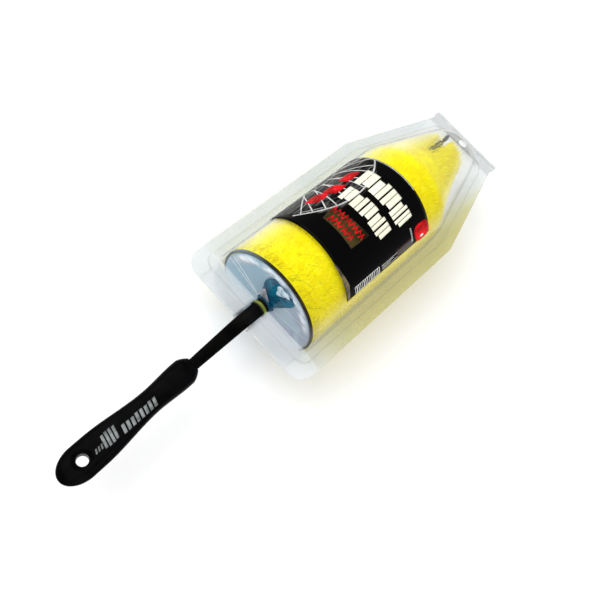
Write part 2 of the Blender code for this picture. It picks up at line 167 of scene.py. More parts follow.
def place_mesh(name, mesh, finish, body, replaced, smooth_deg=None):
    """An object that rides on a body; edges sharper than smooth_deg stay sharp."""
    made = bpy.data.objects.new(name, mesh)
    bpy.context.scene.collection.objects.link(made)
    mesh.materials.append(finish)
    mesh.shade_smooth()
    if smooth_deg:
        mesh.set_sharp_from_angle(angle=math.radians(smooth_deg))
    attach(made, body)
    if replaced:
        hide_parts(replaced)
    return made


def new_object(name, points, faces, finish, body, replaced=None, smooth_deg=40.0):
    mesh = bpy.data.meshes.new(name)
    mesh.from_pydata(world(points).tolist(), [], faces)
    mesh.update()
    return place_mesh(name, mesh, finish, body, replaced, smooth_deg)


def grid_faces(rows, columns, closed=False, start=0):
    """Quads of a grid of points stored row by row; closed joins each row's ends."""
    faces = []
    for i in range(rows - 1):
        for j in range(columns if closed else columns - 1):
            k = (j + 1) % columns
            low, high = start + i * columns, start + (i + 1) * columns
            faces.append((low + j, low + k, high + k, high + j))
    return faces


def tube_faces(rings, sides):
    """Faces of a tube stored ring by ring, with both ends filled."""
    last = (rings - 1) * sides
    ends = [tuple(range(sides))[::-1], tuple(range(last, last + sides))]
    return grid_faces(rings, sides, closed=True) + ends


def full_turn(sides):
    return np.linspace(0.0, math.tau, sides, endpoint=False)


def around(x, radius, turn):
    """Points at a radius and an angle round the brush's axis."""
    return np.stack(np.broadcast_arrays(x, radius * np.cos(turn), radius * np.sin(turn)), axis=-1)


def thicken(made, thickness, offset=-1.0):
    solid = made.modifiers.new("thickness", "SOLIDIFY")
    solid.thickness = thickness * MM
    solid.offset = offset


def rod(centre, radius, length, sides, rotation=(0.0, 0.0, 0.0)):
    """A cylinder to cut with."""
    bpy.ops.mesh.primitive_cylinder_add(vertices=sides, radius=radius * MM, depth=length * MM,
                                        location=world(centre), rotation=rotation)
    return bpy.context.object


def cut(made, cutters, solver):
    """Take the cutters out of an object for good, then remove them."""
    for cutter in cutters:
        boolean = made.modifiers.new("cut", "BOOLEAN")
        boolean.operation = "DIFFERENCE"
        boolean.solver = solver
        boolean.object = cutter
    bpy.context.view_layer.update()
    shape = bpy.data.meshes.new_from_object(made.evaluated_get(bpy.context.evaluated_depsgraph_get()))
    made.modifiers.clear()
    made.data = shape
    for cutter in cutters:
        bpy.data.objects.remove(cutter)


def smooth_step(t):
    t = np.clip(t, 0.0, 1.0)
    return t * t * (3.0 - 2.0 * t)


def between(x, x0, y0, x1, y1):
    return y0 + (y1 - y0) * float(np.clip((x - x0) / (x1 - x0), 0.0, 1.0))


def corner_inset(distance, radius):
    """How far a rounded corner has drawn in, at a distance from the corner's end."""
    distance = min(max(distance, 0.0), radius)
    return radius - math.sqrt(radius ** 2 - (radius - distance) ** 2)


def waves(points, seed, length, octaves=3):
    """Smooth bumps between about -1 and 1, the same on every run."""
    rng = np.random.default_rng(seed)
    points = np.asarray(points, float)
    total = np.zeros(len(points))
    for octave in range(octaves):
        for _ in range(4):
            direction = rng.normal(size=3)
            direction *= 2.0 ** octave * math.tau / length / np.linalg.norm(direction)
            total += np.sin(points @ direction + rng.uniform(0, math.tau)) / 2.0 ** octave
    return total / 4.0


def tube_object(name, centres, radius, sides, finish, body, replaced, across=(0.0, 0.0, 1.0)):
    """A tube round a polyline; radius is a number, or one for each centre."""
    centres = np.asarray(centres, float)
    ahead = np.gradient(centres, axis=0)
    ahead /= np.linalg.norm(ahead, axis=1)[:, None]
    side = np.cross(ahead, across)
    side /= np.linalg.norm(side, axis=1)[:, None]
    up = np.cross(side, ahead)
    turns = full_turn(sides)[None, :, None]
    ring = side[:, None, :] * np.cos(turns) + up[:, None, :] * np.sin(turns)
    radii = np.broadcast_to(radius, len(centres))[:, None, None]
    points = (centres[:, None, :] + ring * radii).reshape(-1, 3)
    return new_object(name, points, tube_faces(len(centres), sides), finish, body, replaced)


def lathe(name, profile, finish, replaced, steps, bump=None):
    """Turn a closed (x, radius) profile about the brush's axis."""
    points = np.concatenate([around(x, radius, full_turn(steps)) for x, radius in profile])
    if bump is not None:
        points = bump(points)
    faces = grid_faces(len(profile), steps, closed=True)
    last = (len(profile) - 1) * steps
    faces += [(last + j, last + (j + 1) % steps, (j + 1) % steps, j) for j in range(steps)]
    return new_object(name, points, faces, finish, "brush", replaced)


def rounded(profile, radius):
    """A closed profile with its corners rounded, each in four steps."""
    points = []
    for i, here in enumerate(profile):
        here = np.array(here, float)
        before = np.array(profile[i - 1], float) - here
        after = np.array(profile[(i + 1) % len(profile)], float) - here
        reach = min(radius, np.linalg.norm(before) * 0.45, np.linalg.norm(after) * 0.45)
        start = here + before / np.linalg.norm(before) * reach
        end = here + after / np.linalg.norm(after) * reach
        for t in np.linspace(0.0, 1.0, 5):
            points.append((1 - t) ** 2 * start + 2 * t * (1 - t) * here + t ** 2 * end)
    return points


# ---------------- materials
class Finish:
    """A node material with a Principled shader, and short ways to add nodes to it."""

    def __init__(self, name, colour, roughness, **inputs):
        self.material = bpy.data.materials.new(name)
        self.material.use_nodes = True
        self.tree = self.material.node_tree
        self.shader = self.tree.nodes["Principled BSDF"]
        self.shader.inputs["Base Color"].default_value = (*colour, 1.0)
        self.shader.inputs["Roughness"].default_value = roughness
        for key, value in inputs.items():
            self.shader.inputs[key.replace("_", " ")].default_value = value

    def feed(self, value, target):
        """Link a socket to an input, or set the input to a number or to three."""
        if isinstance(value, bpy.types.NodeSocket):
            self.tree.links.new(value, target)
        elif target.type == "RGBA":
            target.default_value = (*value, 1.0)
        else:
            target.default_value = value

    def node(self, kind, inputs, output=0, **settings):
        """Add a node and return one of its outputs."""
        made = self.tree.nodes.new(kind)
        for key, value in settings.items():
            setattr(made, key, value)
        for key, value in inputs.items():
            self.feed(value, made.inputs[key])
        return made.outputs[output]

    def coords(self):
        return self.node("ShaderNodeTexCoord", {}, "Object")

    def place(self, axis):
        """The point's X, Y or Z in millimetres of the case frame."""
        metres = self.node("ShaderNodeSeparateXYZ", {"Vector": self.coords()}, axis)
        return self.maths("MULTIPLY_ADD", metres, 1.0 / MM, -ZERO["XYZ".index(axis)])

    def attribute(self, name):
        return self.node("ShaderNodeAttribute", {}, "Fac", attribute_name=name)

    def noise(self, scale, detail=3.0, stretch=(1, 1, 1), roughness=0.5, distortion=0.0):
        """Noise at a scale per metre, with the coordinates stretched first."""
        stretched = self.node("ShaderNodeMapping", {"Vector": self.coords(), "Scale": stretch})
        return self.node("ShaderNodeTexNoise", {"Vector": stretched, "Scale": scale, "Detail": detail,
                                                "Roughness": roughness, "Distortion": distortion})

    def maths(self, operation, first, second=0.0, third=0.0):
        return self.node("ShaderNodeMath", {0: first, 1: second, 2: third}, operation=operation)

    def times(self, first, second):
        return self.maths("MULTIPLY", first, second)

    def hypot(self, first, second):
        return self.maths("SQRT", self.maths("MULTIPLY_ADD", first, first, self.times(second, second)))

    def span(self, source, low, high, to_low=0.0, to_high=1.0):
        """Map a range of source smoothly to another range."""
        inputs = {"Value": source, "From Min": low, "From Max": high, "To Min": to_low, "To Max": to_high}
        return self.node("ShaderNodeMapRange", inputs, interpolation_type="SMOOTHSTEP")

    def mix(self, factor, first, second, blend="MIX"):
        """Mix two colours; each value is a socket or plain numbers."""
        inputs = {0: factor, 6: first, 7: second}
        return self.node("ShaderNodeMix", inputs, 2, data_type="RGBA", blend_type=blend)

    def blend(self, source, low, high, first, second):
        """The first colour where source is at low, and the second where it is at high."""
        return self.mix(self.span(source, low, high), first, second)

    def colour(self, socket):
        self.feed(socket, self.shader.inputs["Base Color"])

    def rough(self, socket, low, high):
        self.feed(self.span(socket, 0.3, 0.7, low, high), self.shader.inputs["Roughness"])

    def bump(self, socket, strength, depth):
        inputs = {"Height": socket, "Strength": strength, "Distance": depth * MM}
        self.feed(self.node("ShaderNodeBump", inputs), self.shader.inputs["Normal"])


def clear_sheet(name, haze, painted_yellow_share, flat_haze, end_haze):
    """Thin clear plastic: see-through, with mirror highlights at glancing angles and some haze.

    The bristles' yellow is painted into the right-hand side of the sheet as a painted reflection, as strong
    as the third argument asks. The flat border is cloudier than the dome, by flat_haze, and most of
    all at the near end, by end_haze.
    """
    made = Finish(name, (0.9, 0.93, 0.93), 0.35)
    x, y, z = (made.place(axis) for axis in "XYZ")
    along = made.times(made.span(x, 8, 85), made.span(x, 290, 215))
    # a painted reflection: the bristles' yellow on the right, in the colour, the see-through and the haze
    painted_yellow_reflection = made.times(made.times(made.span(y, -30, -56), along), painted_yellow_share)
    flat = made.span(made.maths("ABSOLUTE", z), PLATEAU + 1.6, PLATEAU + 0.3)
    header = made.span(x, DOME_END_X - 1.0, PLATEAU_END_X + 1.0)
    slope = made.span(x, SLOPE_X - 1.0, SLOPE_X + 2.0)
    open_wall = made.span(x, DOME_NEAR_X + 1.0, DOME_NEAR_X + 9.0, 0.05, 1.0)

    body = made.blend(made.noise(22.0, 2.0), 0.35, 0.65, (0.78, 0.82, 0.83), (0.90, 0.91, 0.92))
    # the header's haze is greyer than the rest of the sheet: painted shade
    body = made.mix(made.times(header, 0.7), body, (0.52, 0.53, 0.54))
    made.colour(made.mix(painted_yellow_reflection, body, (0.70, 0.65, 0.28)))
    # the flat border lets less light through towards its left-hand side: painted shade
    border = made.blend(y, 20, 46, (0.962, 0.968, 0.972), (0.930, 0.942, 0.945))
    clear = made.mix(flat, (0.975, 0.980, 0.984), border)
    clear = made.mix(painted_yellow_reflection, clear, (0.905, 0.882, 0.575))
    through = made.node("ShaderNodeBsdfTransparent", {"Color": clear})

    facing = made.node("ShaderNodeLayerWeight", {"Blend": 0.5}, "Facing")
    steep = made.times(made.span(facing, 0.36, 1.0, 0.0, 0.17), open_wall)
    cloudy = made.span(x, DOME_NEAR_X + 1.0, DOME_NEAR_X - 1.0, flat_haze, end_haze)
    milky = made.maths("MULTIPLY_ADD", flat, cloudy, haze)
    for source, share in ((painted_yellow_reflection, 0.10), (header, 0.08), (slope, 0.04), (steep, 1.0)):
        milky = made.maths("MULTIPLY_ADD", source, share, milky)
    sheet = made.node("ShaderNodeMixShader", {"Fac": milky, 1: through, 2: made.shader.outputs[0]})

    share = made.maths("MULTIPLY_ADD", slope, -0.7, 0.85)
    share = made.times(share, made.span(open_wall, 0.0, 1.0, 0.35, 1.0))
    mirror = made.maths("MULTIPLY_ADD", made.maths("POWER", facing, 4.6), share, 0.0015)
    gloss = made.node("ShaderNodeBsdfGlossy", {"Roughness": 0.06})
    top = made.node("ShaderNodeMixShader", {"Fac": mirror, 1: sheet, 2: gloss})
    made.feed(top, made.tree.nodes["Material Output"].inputs["Surface"])
    return made.material


def bristle_yellow():
    # the bristles glow a little by emission: painted light, standing in for light that passes through them
    made = Finish("bristle_yellow", (0.95, 0.85, 0.0), 0.6, Specular_IOR_Level=0.15,
                  Emission_Color=(1.0, 0.86, 0.0, 1.0), Emission_Strength=0.17)
    x, y = made.place("X"), made.place("Y")
    tone = made.attribute("tone")
    clump = made.noise(70.0, 3.0, (1.6, 1.0, 1.0))
    tuft = made.noise(190.0, 4.0, (0.55, 1.0, 1.0), 0.6, 0.5)
    warm = made.blend(clump, 0.35, 0.65, (0.99, 0.88, 0.0), (1.0, 0.98, 0.0))
    warm = made.mix(made.span(tuft, 0.46, 0.30, 0.0, 0.4), warm, (0.80, 0.71, 0.0))
    # a deeper yellow towards the right-hand side: painted shade
    shaded = made.mix(made.span(y, 10, -42, 0.0, 0.6), warm, (0.74, 0.62, 0.0))
    lit = made.blend(tone, 0.0, 0.7, made.mix(1.0, shaded, (0.70, 0.65, 0.05), "MULTIPLY"), shaded)
    lit = made.mix(made.span(tone, 0.82, 0.98, 0.0, 0.75), lit, (1.0, 0.97, 0.18))
    # paler towards the left-hand side: a painted highlight
    lit = made.mix(made.span(y, 12, 46, 0.0, 0.45), lit, (1.0, 0.99, 0.30))
    # painted highlight: the nose's loose ends paler beyond the wire and below a line along the lower edge
    beyond = made.times(made.span(x, 172, 205), made.span(y, 9, 27))
    line = made.maths("MULTIPLY_ADD", x, -0.356, made.maths("ADD", y, 94.48))
    below = made.times(made.span(x, 186, 200), made.span(line, 2, -5))
    made.colour(made.mix(made.times(made.maths("MAXIMUM", beyond, below), 0.65), lit, (1.0, 0.97, 0.42)))
    return made.material


def hair_dark():
    made = Finish("bristle_root_dark", (0.05, 0.045, 0.01), 0.45)
    made.colour(made.blend(made.attribute("tone"), 0.2, 1.0, (0.05, 0.05, 0.01), (0.42, 0.38, 0.02)))
    return made.material


def film_grey():
    made = Finish("end_disc_film", (0.4, 0.5, 0.56), 0.14, Coat_Weight=0.3, Coat_Roughness=0.05)
    tone = made.blend(made.place("Y"), 30, -35, (0.26, 0.44, 0.55), (0.30, 0.34, 0.44))
    soft = made.blend(made.noise(45.0, 2.0, distortion=0.6), 0.42, 0.72, tone, (0.38, 0.49, 0.58))
    # whiter along the folds and along the bright band under the upper edge, which is a painted highlight
    made.colour(made.mix(made.attribute("crease_and_glint"), soft, (0.9, 0.93, 0.95)))
    made.rough(made.noise(60.0), 0.08, 0.25)
    return made.material


def film_teal():
    made = Finish("hub_teal", (0.0, 0.12, 0.2), 0.35, Specular_IOR_Level=0.06)
    cloud = made.noise(110.0, 3.0, distortion=0.8)
    made.colour(made.blend(cloud, 0.4, 0.68, (0.0, 0.045, 0.10), (0.0, 0.145, 0.24)))
    made.bump(made.noise(260.0, 2.0), 0.2, 0.2)
    return made.material


# The pale scrap in front of the hub: a painted highlight on the teal film.
def film_glint_highlight():
    made = Finish("hub_glint_highlight", (0.62, 0.74, 0.8), 0.12, Coat_Weight=0.6)
    cloud = made.noise(150.0, 2.0, distortion=0.8)
    made.colour(made.blend(cloud, 0.4, 0.7, (0.30, 0.50, 0.60), (0.74, 0.84, 0.90)))
    return made.material


def rim_dark():
    """The film's turned edge: black outside, greyer inside and round the left of the disc."""
    made = Finish("disc_rim_black", (0.01, 0.008, 0.006), 0.35, Specular_IOR_Level=0.1)
    y, z = made.place("Y"), made.place("Z")
    inner = made.span(made.hypot(y, z), HEAD_R - 0.9, HEAD_R - 1.3, 0.0, 0.9)
    left = made.span(y, 8, 34, 0.0, 0.8)
    black = made.blend(made.noise(90.0), 0.35, 0.65, (0.004, 0.003, 0.003), (0.03, 0.018, 0.010))
    made.colour(made.mix(made.maths("MAXIMUM", inner, left), black, (0.15, 0.19, 0.22)))
    return made.material


def ring_lime():
    made = Finish("stop_ring", (0.3, 0.34, 0.05), 0.35, Specular_IOR_Level=0.2)
    low, high = node_size("stop_ring", 0)
    lime = made.blend(made.noise(200.0), 0.35, 0.65, (0.16, 0.19, 0.02), (0.46, 0.50, 0.10))
    edge, full = low + (high - low) * 0.25, low + (high - low) * 0.4
    made.colour(made.blend(made.place("X"), edge, full, (0.008, 0.009, 0.006), lime))
    return made.material


def label_black():
    """Glossy black with a dark streaky picture area round the printed wheel, plain on its inner side."""
    made = Finish("label_black", (0.001, 0.001, 0.001), 0.18, Specular_IOR_Level=0.035)
    x, y, z = (made.place(axis) for axis in "XYZ")
    streak = made.noise(120.0, 4.0, (0.5, 3.0, 3.0), 0.65, 0.4)
    grey = made.blend(streak, 0.45, 0.72, (0.002, 0.002, 0.002), (0.15, 0.15, 0.14))
    across = made.maths("SUBTRACT", x, 117.0)
    up = made.times(made.maths("SUBTRACT", y, 46.0), math.sqrt(1.7))
    picture = made.span(made.hypot(across, up), 48.5, 46.5)
    outside = made.span(made.hypot(y, z), LABEL_R + LABEL_THICK * 0.4, LABEL_R + LABEL_THICK * 0.7)
    made.colour(made.mix(made.times(picture, outside), (0.001, 0.001, 0.001), grey))
    return made.material


def plain(name, dark, light, rough_low, rough_high, scale, bump=0.0, depth=0.05, stretch=(1, 1, 1), **inputs):
    """Moulded plastic, ink or wire: two close tones, uneven gloss and an optional fine grain."""
    made = Finish(name, dark, rough_low, **inputs)
    made.colour(made.blend(made.noise(scale, 3.0, stretch), 0.35, 0.65, dark, light))
    made.rough(made.noise(scale * 0.6, 2.0, stretch), rough_low, rough_high)
    if bump:
        made.bump(made.noise(scale * 9.0, 2.0, stretch), bump, depth)
    return made.material


CLEAR_FRONT = clear_sheet("clear_front", 0.0005, 0.3, 0.10, 0.26)
CLEAR_BACK = clear_sheet("clear_back", 0.03, 1.0, 0.12, 0.26)
CLEAR_FOLD = clear_sheet("clear_fold", 0.35, 0.0, 0.0, 0.0)
YELLOW = bristle_yellow()
HAIR = hair_dark()
FILM = film_grey()
TEAL = film_teal()
GLINT_HIGHLIGHT = film_glint_highlight()
FOLD = plain("hub_fold", (0.20, 0.21, 0.25), (0.40, 0.40, 0.45), 0.15, 0.3, 150.0)
RING = ring_lime()
RIM = rim_dark()
SHEATH = plain("stem_sheath", (0.0015, 0.0015, 0.0015), (0.004, 0.004, 0.0035), 0.3, 0.48, 60.0, 0.15, 0.03,
               Specular_IOR_Level=0.004)
HANDLE = plain("handle_black", (0.0008, 0.0008, 0.0008), (0.002, 0.002, 0.0024), 0.2, 0.3, 70.0, 0.12, 0.03,
               Specular_IOR_Level=0.018)
HANDLE_INK = plain("handle_ink", (0.10, 0.11, 0.11), (0.23, 0.25, 0.25), 0.35, 0.5, 240.0)
STEEL = plain("ferrule_steel", (0.4, 0.4, 0.4), (0.6, 0.6, 0.6), 0.25, 0.4, 300.0, 0.2, 0.02, (1, 8, 8),
              Metallic=1.0)
WIRE = plain("twisted_wire", (0.012, 0.018, 0.008), (0.06, 0.075, 0.03), 0.25, 0.45, 300.0, 0.3, 0.03,
             Metallic=0.3)
VINYL = plain("tip_vinyl", (0.008, 0.014, 0.008), (0.03, 0.045, 0.02), 0.22, 0.4, 240.0, 0.2, 0.03)


# ---------------- case shells
def side_line(x):
    """Half width of the flange, without its corners."""
    return between(x, TAPER_X, FLANGE_HALF, FLANGE_END_X, FLANGE_END_HALF)


def flange_half(x):
    return HEADER_HALF if x >= HEADER_X else side_line(x) - corner_inset(x, FLANGE_CORNER)


def plateau_half(x):
    x = min(max(x, PLATEAU_NEAR_X), PLATEAU_END_X)
    near = corner_inset(x - PLATEAU_NEAR_X, PLATEAU_CORNER)
    far = corner_inset(PLATEAU_END_X - x, PLATEAU_CORNER)
    return side_line(x) - STEP_IN - near - far


def dome_half(x):
    return between(x, TAPER_X, DOME_R, DOME_END_X, DOME_END_R)


def crown_height(x):
    if x > SLOPE_X:
        return between(x, SLOPE_X, SLOPE_HIGH, DOME_END_X, SLOPE_LOW)
    return between(x, TAPER_X, DOME_R, SLOPE_X, SLOPE_HIGH)


def dome_curve(x, shrink):
    """The front half's section from the plateau to the crown, drawn in by shrink."""
    half, height = dome_half(x) - shrink, crown_height(x) - shrink
    start = math.asin(min(PLATEAU / height, 1.0))
    return [(half * math.cos(t), height * math.sin(t)) for t in np.linspace(start, math.pi / 2, HOLLOW_STEPS)]


def tub_curve(x, shrink):
    """The back half's section: a wall, a round corner and a flat bottom."""
    half, depth = dome_half(x) - shrink, crown_height(x) + CASE_DEPTH - DOME_R - shrink
    corner = min(TUB_CORNER * half / DOME_R, depth - PLATEAU - 1.0)
    wall = np.linspace(PLATEAU, depth - corner, 9)[:-1]
    flat = np.linspace(half - corner, 0.0, HOLLOW_STEPS - 21)[1:]
    points = [(half, z) for z in wall]
    for t in np.linspace(0.0, math.pi / 2, 14):
        points.append((half - corner + corner * math.cos(t), depth - corner + corner * math.sin(t)))
    return points + [(y, depth) for y in flat]


def level_curve(base):
    return [(DOME_END_FOOT * (1 - k / (HOLLOW_STEPS - 1)), base) for k in range(HOLLOW_STEPS)]


def channel_curve(x, base):
    """The flat ground in front of the dome, with the channel for the stem along its middle."""
    half = min(DOME_R - DOME_ROUND - DRAFT, plateau_half(x) - 1.0)
    ground = [(y, base) for y in np.linspace(half, CHANNEL_R + 1.5, 12)]
    foot = [(CHANNEL_R + 0.6, base + 0.15), (CHANNEL_R + 0.1, base + 0.6)]
    start = math.asin(min((base + 1.2) / CHANNEL_R, 1.0))
    turns = np.linspace(start, math.pi / 2, HOLLOW_STEPS - 14)
    return ground + foot + [(CHANNEL_R * math.cos(t), CHANNEL_R * math.sin(t)) for t in turns]


def blend_curves(first, second, share):
    return [tuple(np.array(a) * (1 - share) + np.array(b) * share) for a, b in zip(first, second)]


def shell_stations(section):
    """(x, level, hollow) of each cross row, close together where the sheet turns."""
    rise = FLANGE_TOP + (PLATEAU - FLANGE_TOP) * smooth_step(np.linspace(0.0, 1.0, 5))
    near = [(x, FLANGE_TOP) for x in (0.0, 0.5, 1.2, 2.4, 4.0, 5.8, 7.6, 9.2)]
    near += zip(np.linspace(10.2, PLATEAU_NEAR_X + 0.3, 5), rise)
    near += [(x, PLATEAU) for x in (12.6, 13.6, 14.8, 16.2, 17.4, 18.4)]

    foot = DOME_NEAR_X - DRAFT
    wall_foot, wall_top = channel_curve(foot, PLATEAU), section(DOME_NEAR_X, DOME_ROUND)
    dome = [(foot + DRAFT * share ** 0.6, blend_curves(wall_foot, wall_top, share))
            for share in (0.0, 0.015, 0.05, 0.12, 0.25, 0.45, 0.7, 0.88, 1.0)]
    for turn in np.linspace(0.0, math.pi / 2, 6)[1:]:
        shrink = DOME_ROUND * (1 - math.sin(turn))
        dome.append((DOME_NEAR_X + DOME_ROUND * (1 - math.cos(turn)), section(DOME_NEAR_X, shrink)))
    dome += [(x, section(x, 0.0)) for x in np.arange(DOME_NEAR_X + 4.5, DOME_END_X - 4.0, 3.0)]
    for turn in np.linspace(0.0, math.pi / 2, 6):
        shrink = DOME_END_ROUND * (1 - math.cos(turn))
        dome.append((DOME_END_X - DRAFT - 2.0 * (1 - math.sin(turn)), section(DOME_END_X, shrink)))
    end_wall, end_level = section(DOME_END_X, DOME_END_ROUND), level_curve(PLATEAU)
    for share in (0.15, 0.4, 0.7, 0.9, 1.0):
        dome.append((DOME_END_X - DRAFT * (1 - share), blend_curves(end_wall, end_level, share)))
    dome.append((DOME_END_X + 1.2, end_level))

    far = list(zip(np.linspace(PLATEAU_END_X - 0.3, PLATEAU_END_X + 1.0, 5), rise[::-1]))
    far += [(x, FLANGE_TOP) for x in np.linspace(PLATEAU_END_X + 2.0, HINGE_X - BEAD_R - GAP, 16)]
    stations = [(x, level, channel_curve(x, level)) for x, level in near]
    stations += [(x, PLATEAU, hollow) for x, hollow in dome]
    return stations + [(x, level, level_curve(level)) for x, level in far]


def shell_row(x, level, hollow):
    """Points across the case at one station, from one rim to the other."""
    rim = flange_half(x)
    step = min(plateau_half(x), rim - 3.0)
    border = [(y, FLANGE_TOP) for y in (rim, rim - 0.4, *np.linspace(rim - 1.2, step + 1.5, 5))]
    for k, share in enumerate(smooth_step(np.linspace(0.0, 1.0, 5))):
        border.append((step + 1.1 - 1.1 * k / 4, FLANGE_TOP + (level - FLANGE_TOP) * share))
    border += [(y, level) for y in np.linspace(step - 0.5, max(hollow[0][0] + 0.6, step - 1.6), 3)]
    border.append((hollow[0][0] + 0.25, level))
    quarter = border + hollow
    return [(x, y, z) for y, z in quarter] + [(x, -y, z) for y, z in reversed(quarter[:-1])]


def make_shell(name, section, side, finish, body, replaced):
    rows = [shell_row(*station) for station in shell_stations(section)]
    points = np.array(rows).reshape(-1, 3)
    ripple = waves(points, 5 if side > 0 else 6, 46.0) * 0.16
    inside = (np.abs(points[:, 1]) < DOME_R * 0.98) & (points[:, 2] > PLATEAU + 2.0)
    points[:, 2] += np.where(inside, ripple, 0.0)
    if side > 0:
        # a raised crease runs across the header, from the left corner to the hinge
        line = np.clip((points[:, 1] + 34.0) / 68.0, 0.0, 1.0)
        from_crease = points[:, 0] - (277.4 - 3.0 * line)
        flat = points[:, 0] > PLATEAU_END_X + 1.5
        points[:, 2] += np.where(flat, 1.1 * np.exp(-(from_crease / 0.8) ** 2), 0.0)
    points[:, 2] *= side
    faces = [face[::side] for face in grid_faces(len(rows), len(rows[0]))]
    made = new_object(name, points, faces, finish, body, replaced, 50.0)
    thicken(made, SHEET)
    cut(made, [rod((HEADER_HOLE_X, 0.0, 0.0), HOLE_R, 20.0, 64)], "MANIFOLD")


def make_fold():
    """The rolled fold that joins the halves."""
    steps = 60
    centres = [(HINGE_X, y, 0.0) for y in np.linspace(-HEADER_HALF, HEADER_HALF, steps)]
    radii = [BEAD_R * (0.9 + 0.1 * math.sin(k * 0.5)) for k in range(steps)]
    radii[0] = radii[-1] = BEAD_R * 0.6
    tube_object("hinge_fold", centres, radii, 20, CLEAR_FOLD, "case", "living_hinge")


# ---------------- wrap label
def on_label(points, lift):
    """(x, degrees) points of the label to the case frame, lift above its backing."""
    x, degrees = np.asarray(points, float).T
    return around(x, LABEL_R + lift, np.radians(degrees))


class Ink:
    """Flat prints on the label, gathered into one piece for each colour."""

    def __init__(self):
        self.points = []
        self.faces = []

    def patch(self, corners, lift=0.0):
        """A four-cornered patch; corners run round it, each (x, degrees)."""
        a, b, c, d = (np.array(p, float) for p in corners)
        columns = int(max(abs(b - a).max(), abs(c - d).max()) / 2.0) + 2
        rows = int(max(abs(d - a).max(), abs(c - b).max()) / 2.0) + 2
        self.faces += grid_faces(rows, columns, start=len(self.points))
        for v in np.linspace(0, 1, rows):
            for u in np.linspace(0, 1, columns):
                flat = (a * (1 - u) + b * u) * (1 - v) + (d * (1 - u) + c * u) * v
                self.points.append((flat[0], flat[1], lift))

    def box(self, low, high, start, end, lift):
        """A patch along X from low to high and round the label from start to end degrees."""
        self.patch([(low, start), (high, start), (high, end), (low, end)], lift)

    def stroke(self, first, last, width, lift=0.0):
        """A straight line of a given width in millimetres."""
        first = np.array([first[0], first[1] * ARC])
        last = np.array([last[0], last[1] * ARC])
        ahead = (last - first) / np.linalg.norm(last - first)
        side = np.array([-ahead[1], ahead[0]]) * width / 2
        corners = (first - side, last - side, last + side, first + side)
        self.patch([(u, v / ARC) for u, v in corners], lift)

    def arc(self, centre, radius, start_deg, end_deg, width):
        """Part of a circle, drawn as short strokes; centre is (x, degrees)."""
        turns = np.radians(np.linspace(start_deg, end_deg, 40))
        path = [(centre[0] + radius * math.cos(t), centre[1] + radius * math.sin(t) / ARC) for t in turns]
        for first, last in zip(path, path[1:]):
            self.stroke(first, last, width)

    def blob(self, centre, half_u, half_v, lean, lift, corners=2.6):
        """A rounded oval; lean shears it, and half_u and half_v are in millimetres."""
        start = len(self.points)
        rings, sides = 5, 32
        for ring in range(rings):
            for k in range(sides):
                c, s = math.cos(math.tau * k / sides), math.sin(math.tau * k / sides)
                edge = (abs(c) ** corners + abs(s) ** corners) ** (1 / corners)
                reach = (0.02 + 0.98 * ring / (rings - 1)) / edge
                u, v = half_u * c * reach, half_v * s * reach
                self.points.append((centre[0] + u + lean * v, centre[1] + v / ARC, lift))
        self.faces += grid_faces(rings, sides, closed=True, start=start)
        self.faces.append(tuple(start + k for k in range(sides)))

    def build(self, name, finish):
        points = np.array(self.points)
        placed = on_label(points[:, :2], LABEL_THICK + 0.03 + points[:, 2])
        thicken(new_object(name, placed, self.faces, finish, "lid"), 0.02, 1.0)


def make_label_sheet():
    turns = np.linspace(LABEL_LEFT_DEG, LABEL_RIGHT_DEG, 110)
    near = LABEL_NEAR_X + LABEL_SKEW * np.linspace(1.0, 0.0, len(turns))
    shares = np.linspace(0.0, 1.0, 34)
    points = [(low + (LABEL_FAR_X - low) * share, turn) for share in shares for low, turn in zip(near, turns)]
    faces = grid_faces(len(shares), len(turns))
    label = new_object("label_sheet", on_label(points, LABEL_THICK), faces, label_black(), "lid",
                       "wrap_label")
    thicken(label, LABEL_THICK * 0.8)


def print_title(cream):
    """Two heavy lines of plain blocks where the title was, each block a pair of unlike bars."""
    first = (126.5, 144.5, 60.0, (15.2, 12.8, 11.8, 8.2, 7.3))
    second = (105.8, 121.2, 62.5, (11.3, 10.9, 10.0, 9.4, 8.6))
    lean = 0.9
    for low, high, at, widths in (first, second):
        for number, width in enumerate(widths):
            odd = number % 2
            inner = width * (0.44 + 0.12 * odd)
            for left, right, bottom, top in ((0.0, inner, 0.0, 1.0 - 0.14 * odd),
                                             (inner + 0.55, width, 0.13 * (1 - odd), 1.0)):
                foot, head = low + (high - low) * bottom, low + (high - low) * top
                cream.patch(((foot, at + left + lean), (head, at + left), (head, at + right),
                             (foot, at + right + lean)), 0.012)
            at += width + 1.7


def print_wheel(grey, red, white):
    """A generic wheel: a rim and pairs of spokes round a hub beyond the label's left edge."""
    hub_x = 117.0
    grey.arc((hub_x, 0.0), 60.0, 46.5, 140.0, 1.2)
    grey.arc((hub_x, 0.0), 57.6, 118.0, 136.0, 0.5)
    grey.arc((hub_x, 0.0), 27.0, 30.0, 150.0, 0.6)
    for middle in range(40, 150, 18):
        for spread in (-4.2, 4.2):
            inner, outer = math.radians(middle - spread * 0.4), math.radians(middle + spread)
            first = (hub_x + 26.0 * math.cos(inner), 26.0 * math.sin(inner) / ARC)
            last = (hub_x + 59.5 * math.cos(outer), 59.5 * math.sin(outer) / ARC)
            if min(first[1], last[1]) > LABEL_LEFT_DEG + 1.0:
                grey.stroke(first, last, 1.0)
    for number in range(9):
        x = 96.0 + number * 6.5
        grey.stroke((x, 24.0 + (number % 3) * 3.0), (x + 5.0, 25.5 + (number % 2) * 4.0), 0.5)
    marks = ((96.5, 48.5, 7.0, 5.0), (112.0, 53.0, 6.5, 5.4), (130.0, 51.5, 7.5, 4.2))
    for x, degrees, half_u, half_v in marks:
        red.blob((x, degrees), half_u, half_v, 0.55, -0.008, 5.0)
        white.stroke((x - 1.5, degrees + 1.2), (x + 3.0, degrees - 1.6), 0.55, 0.004)


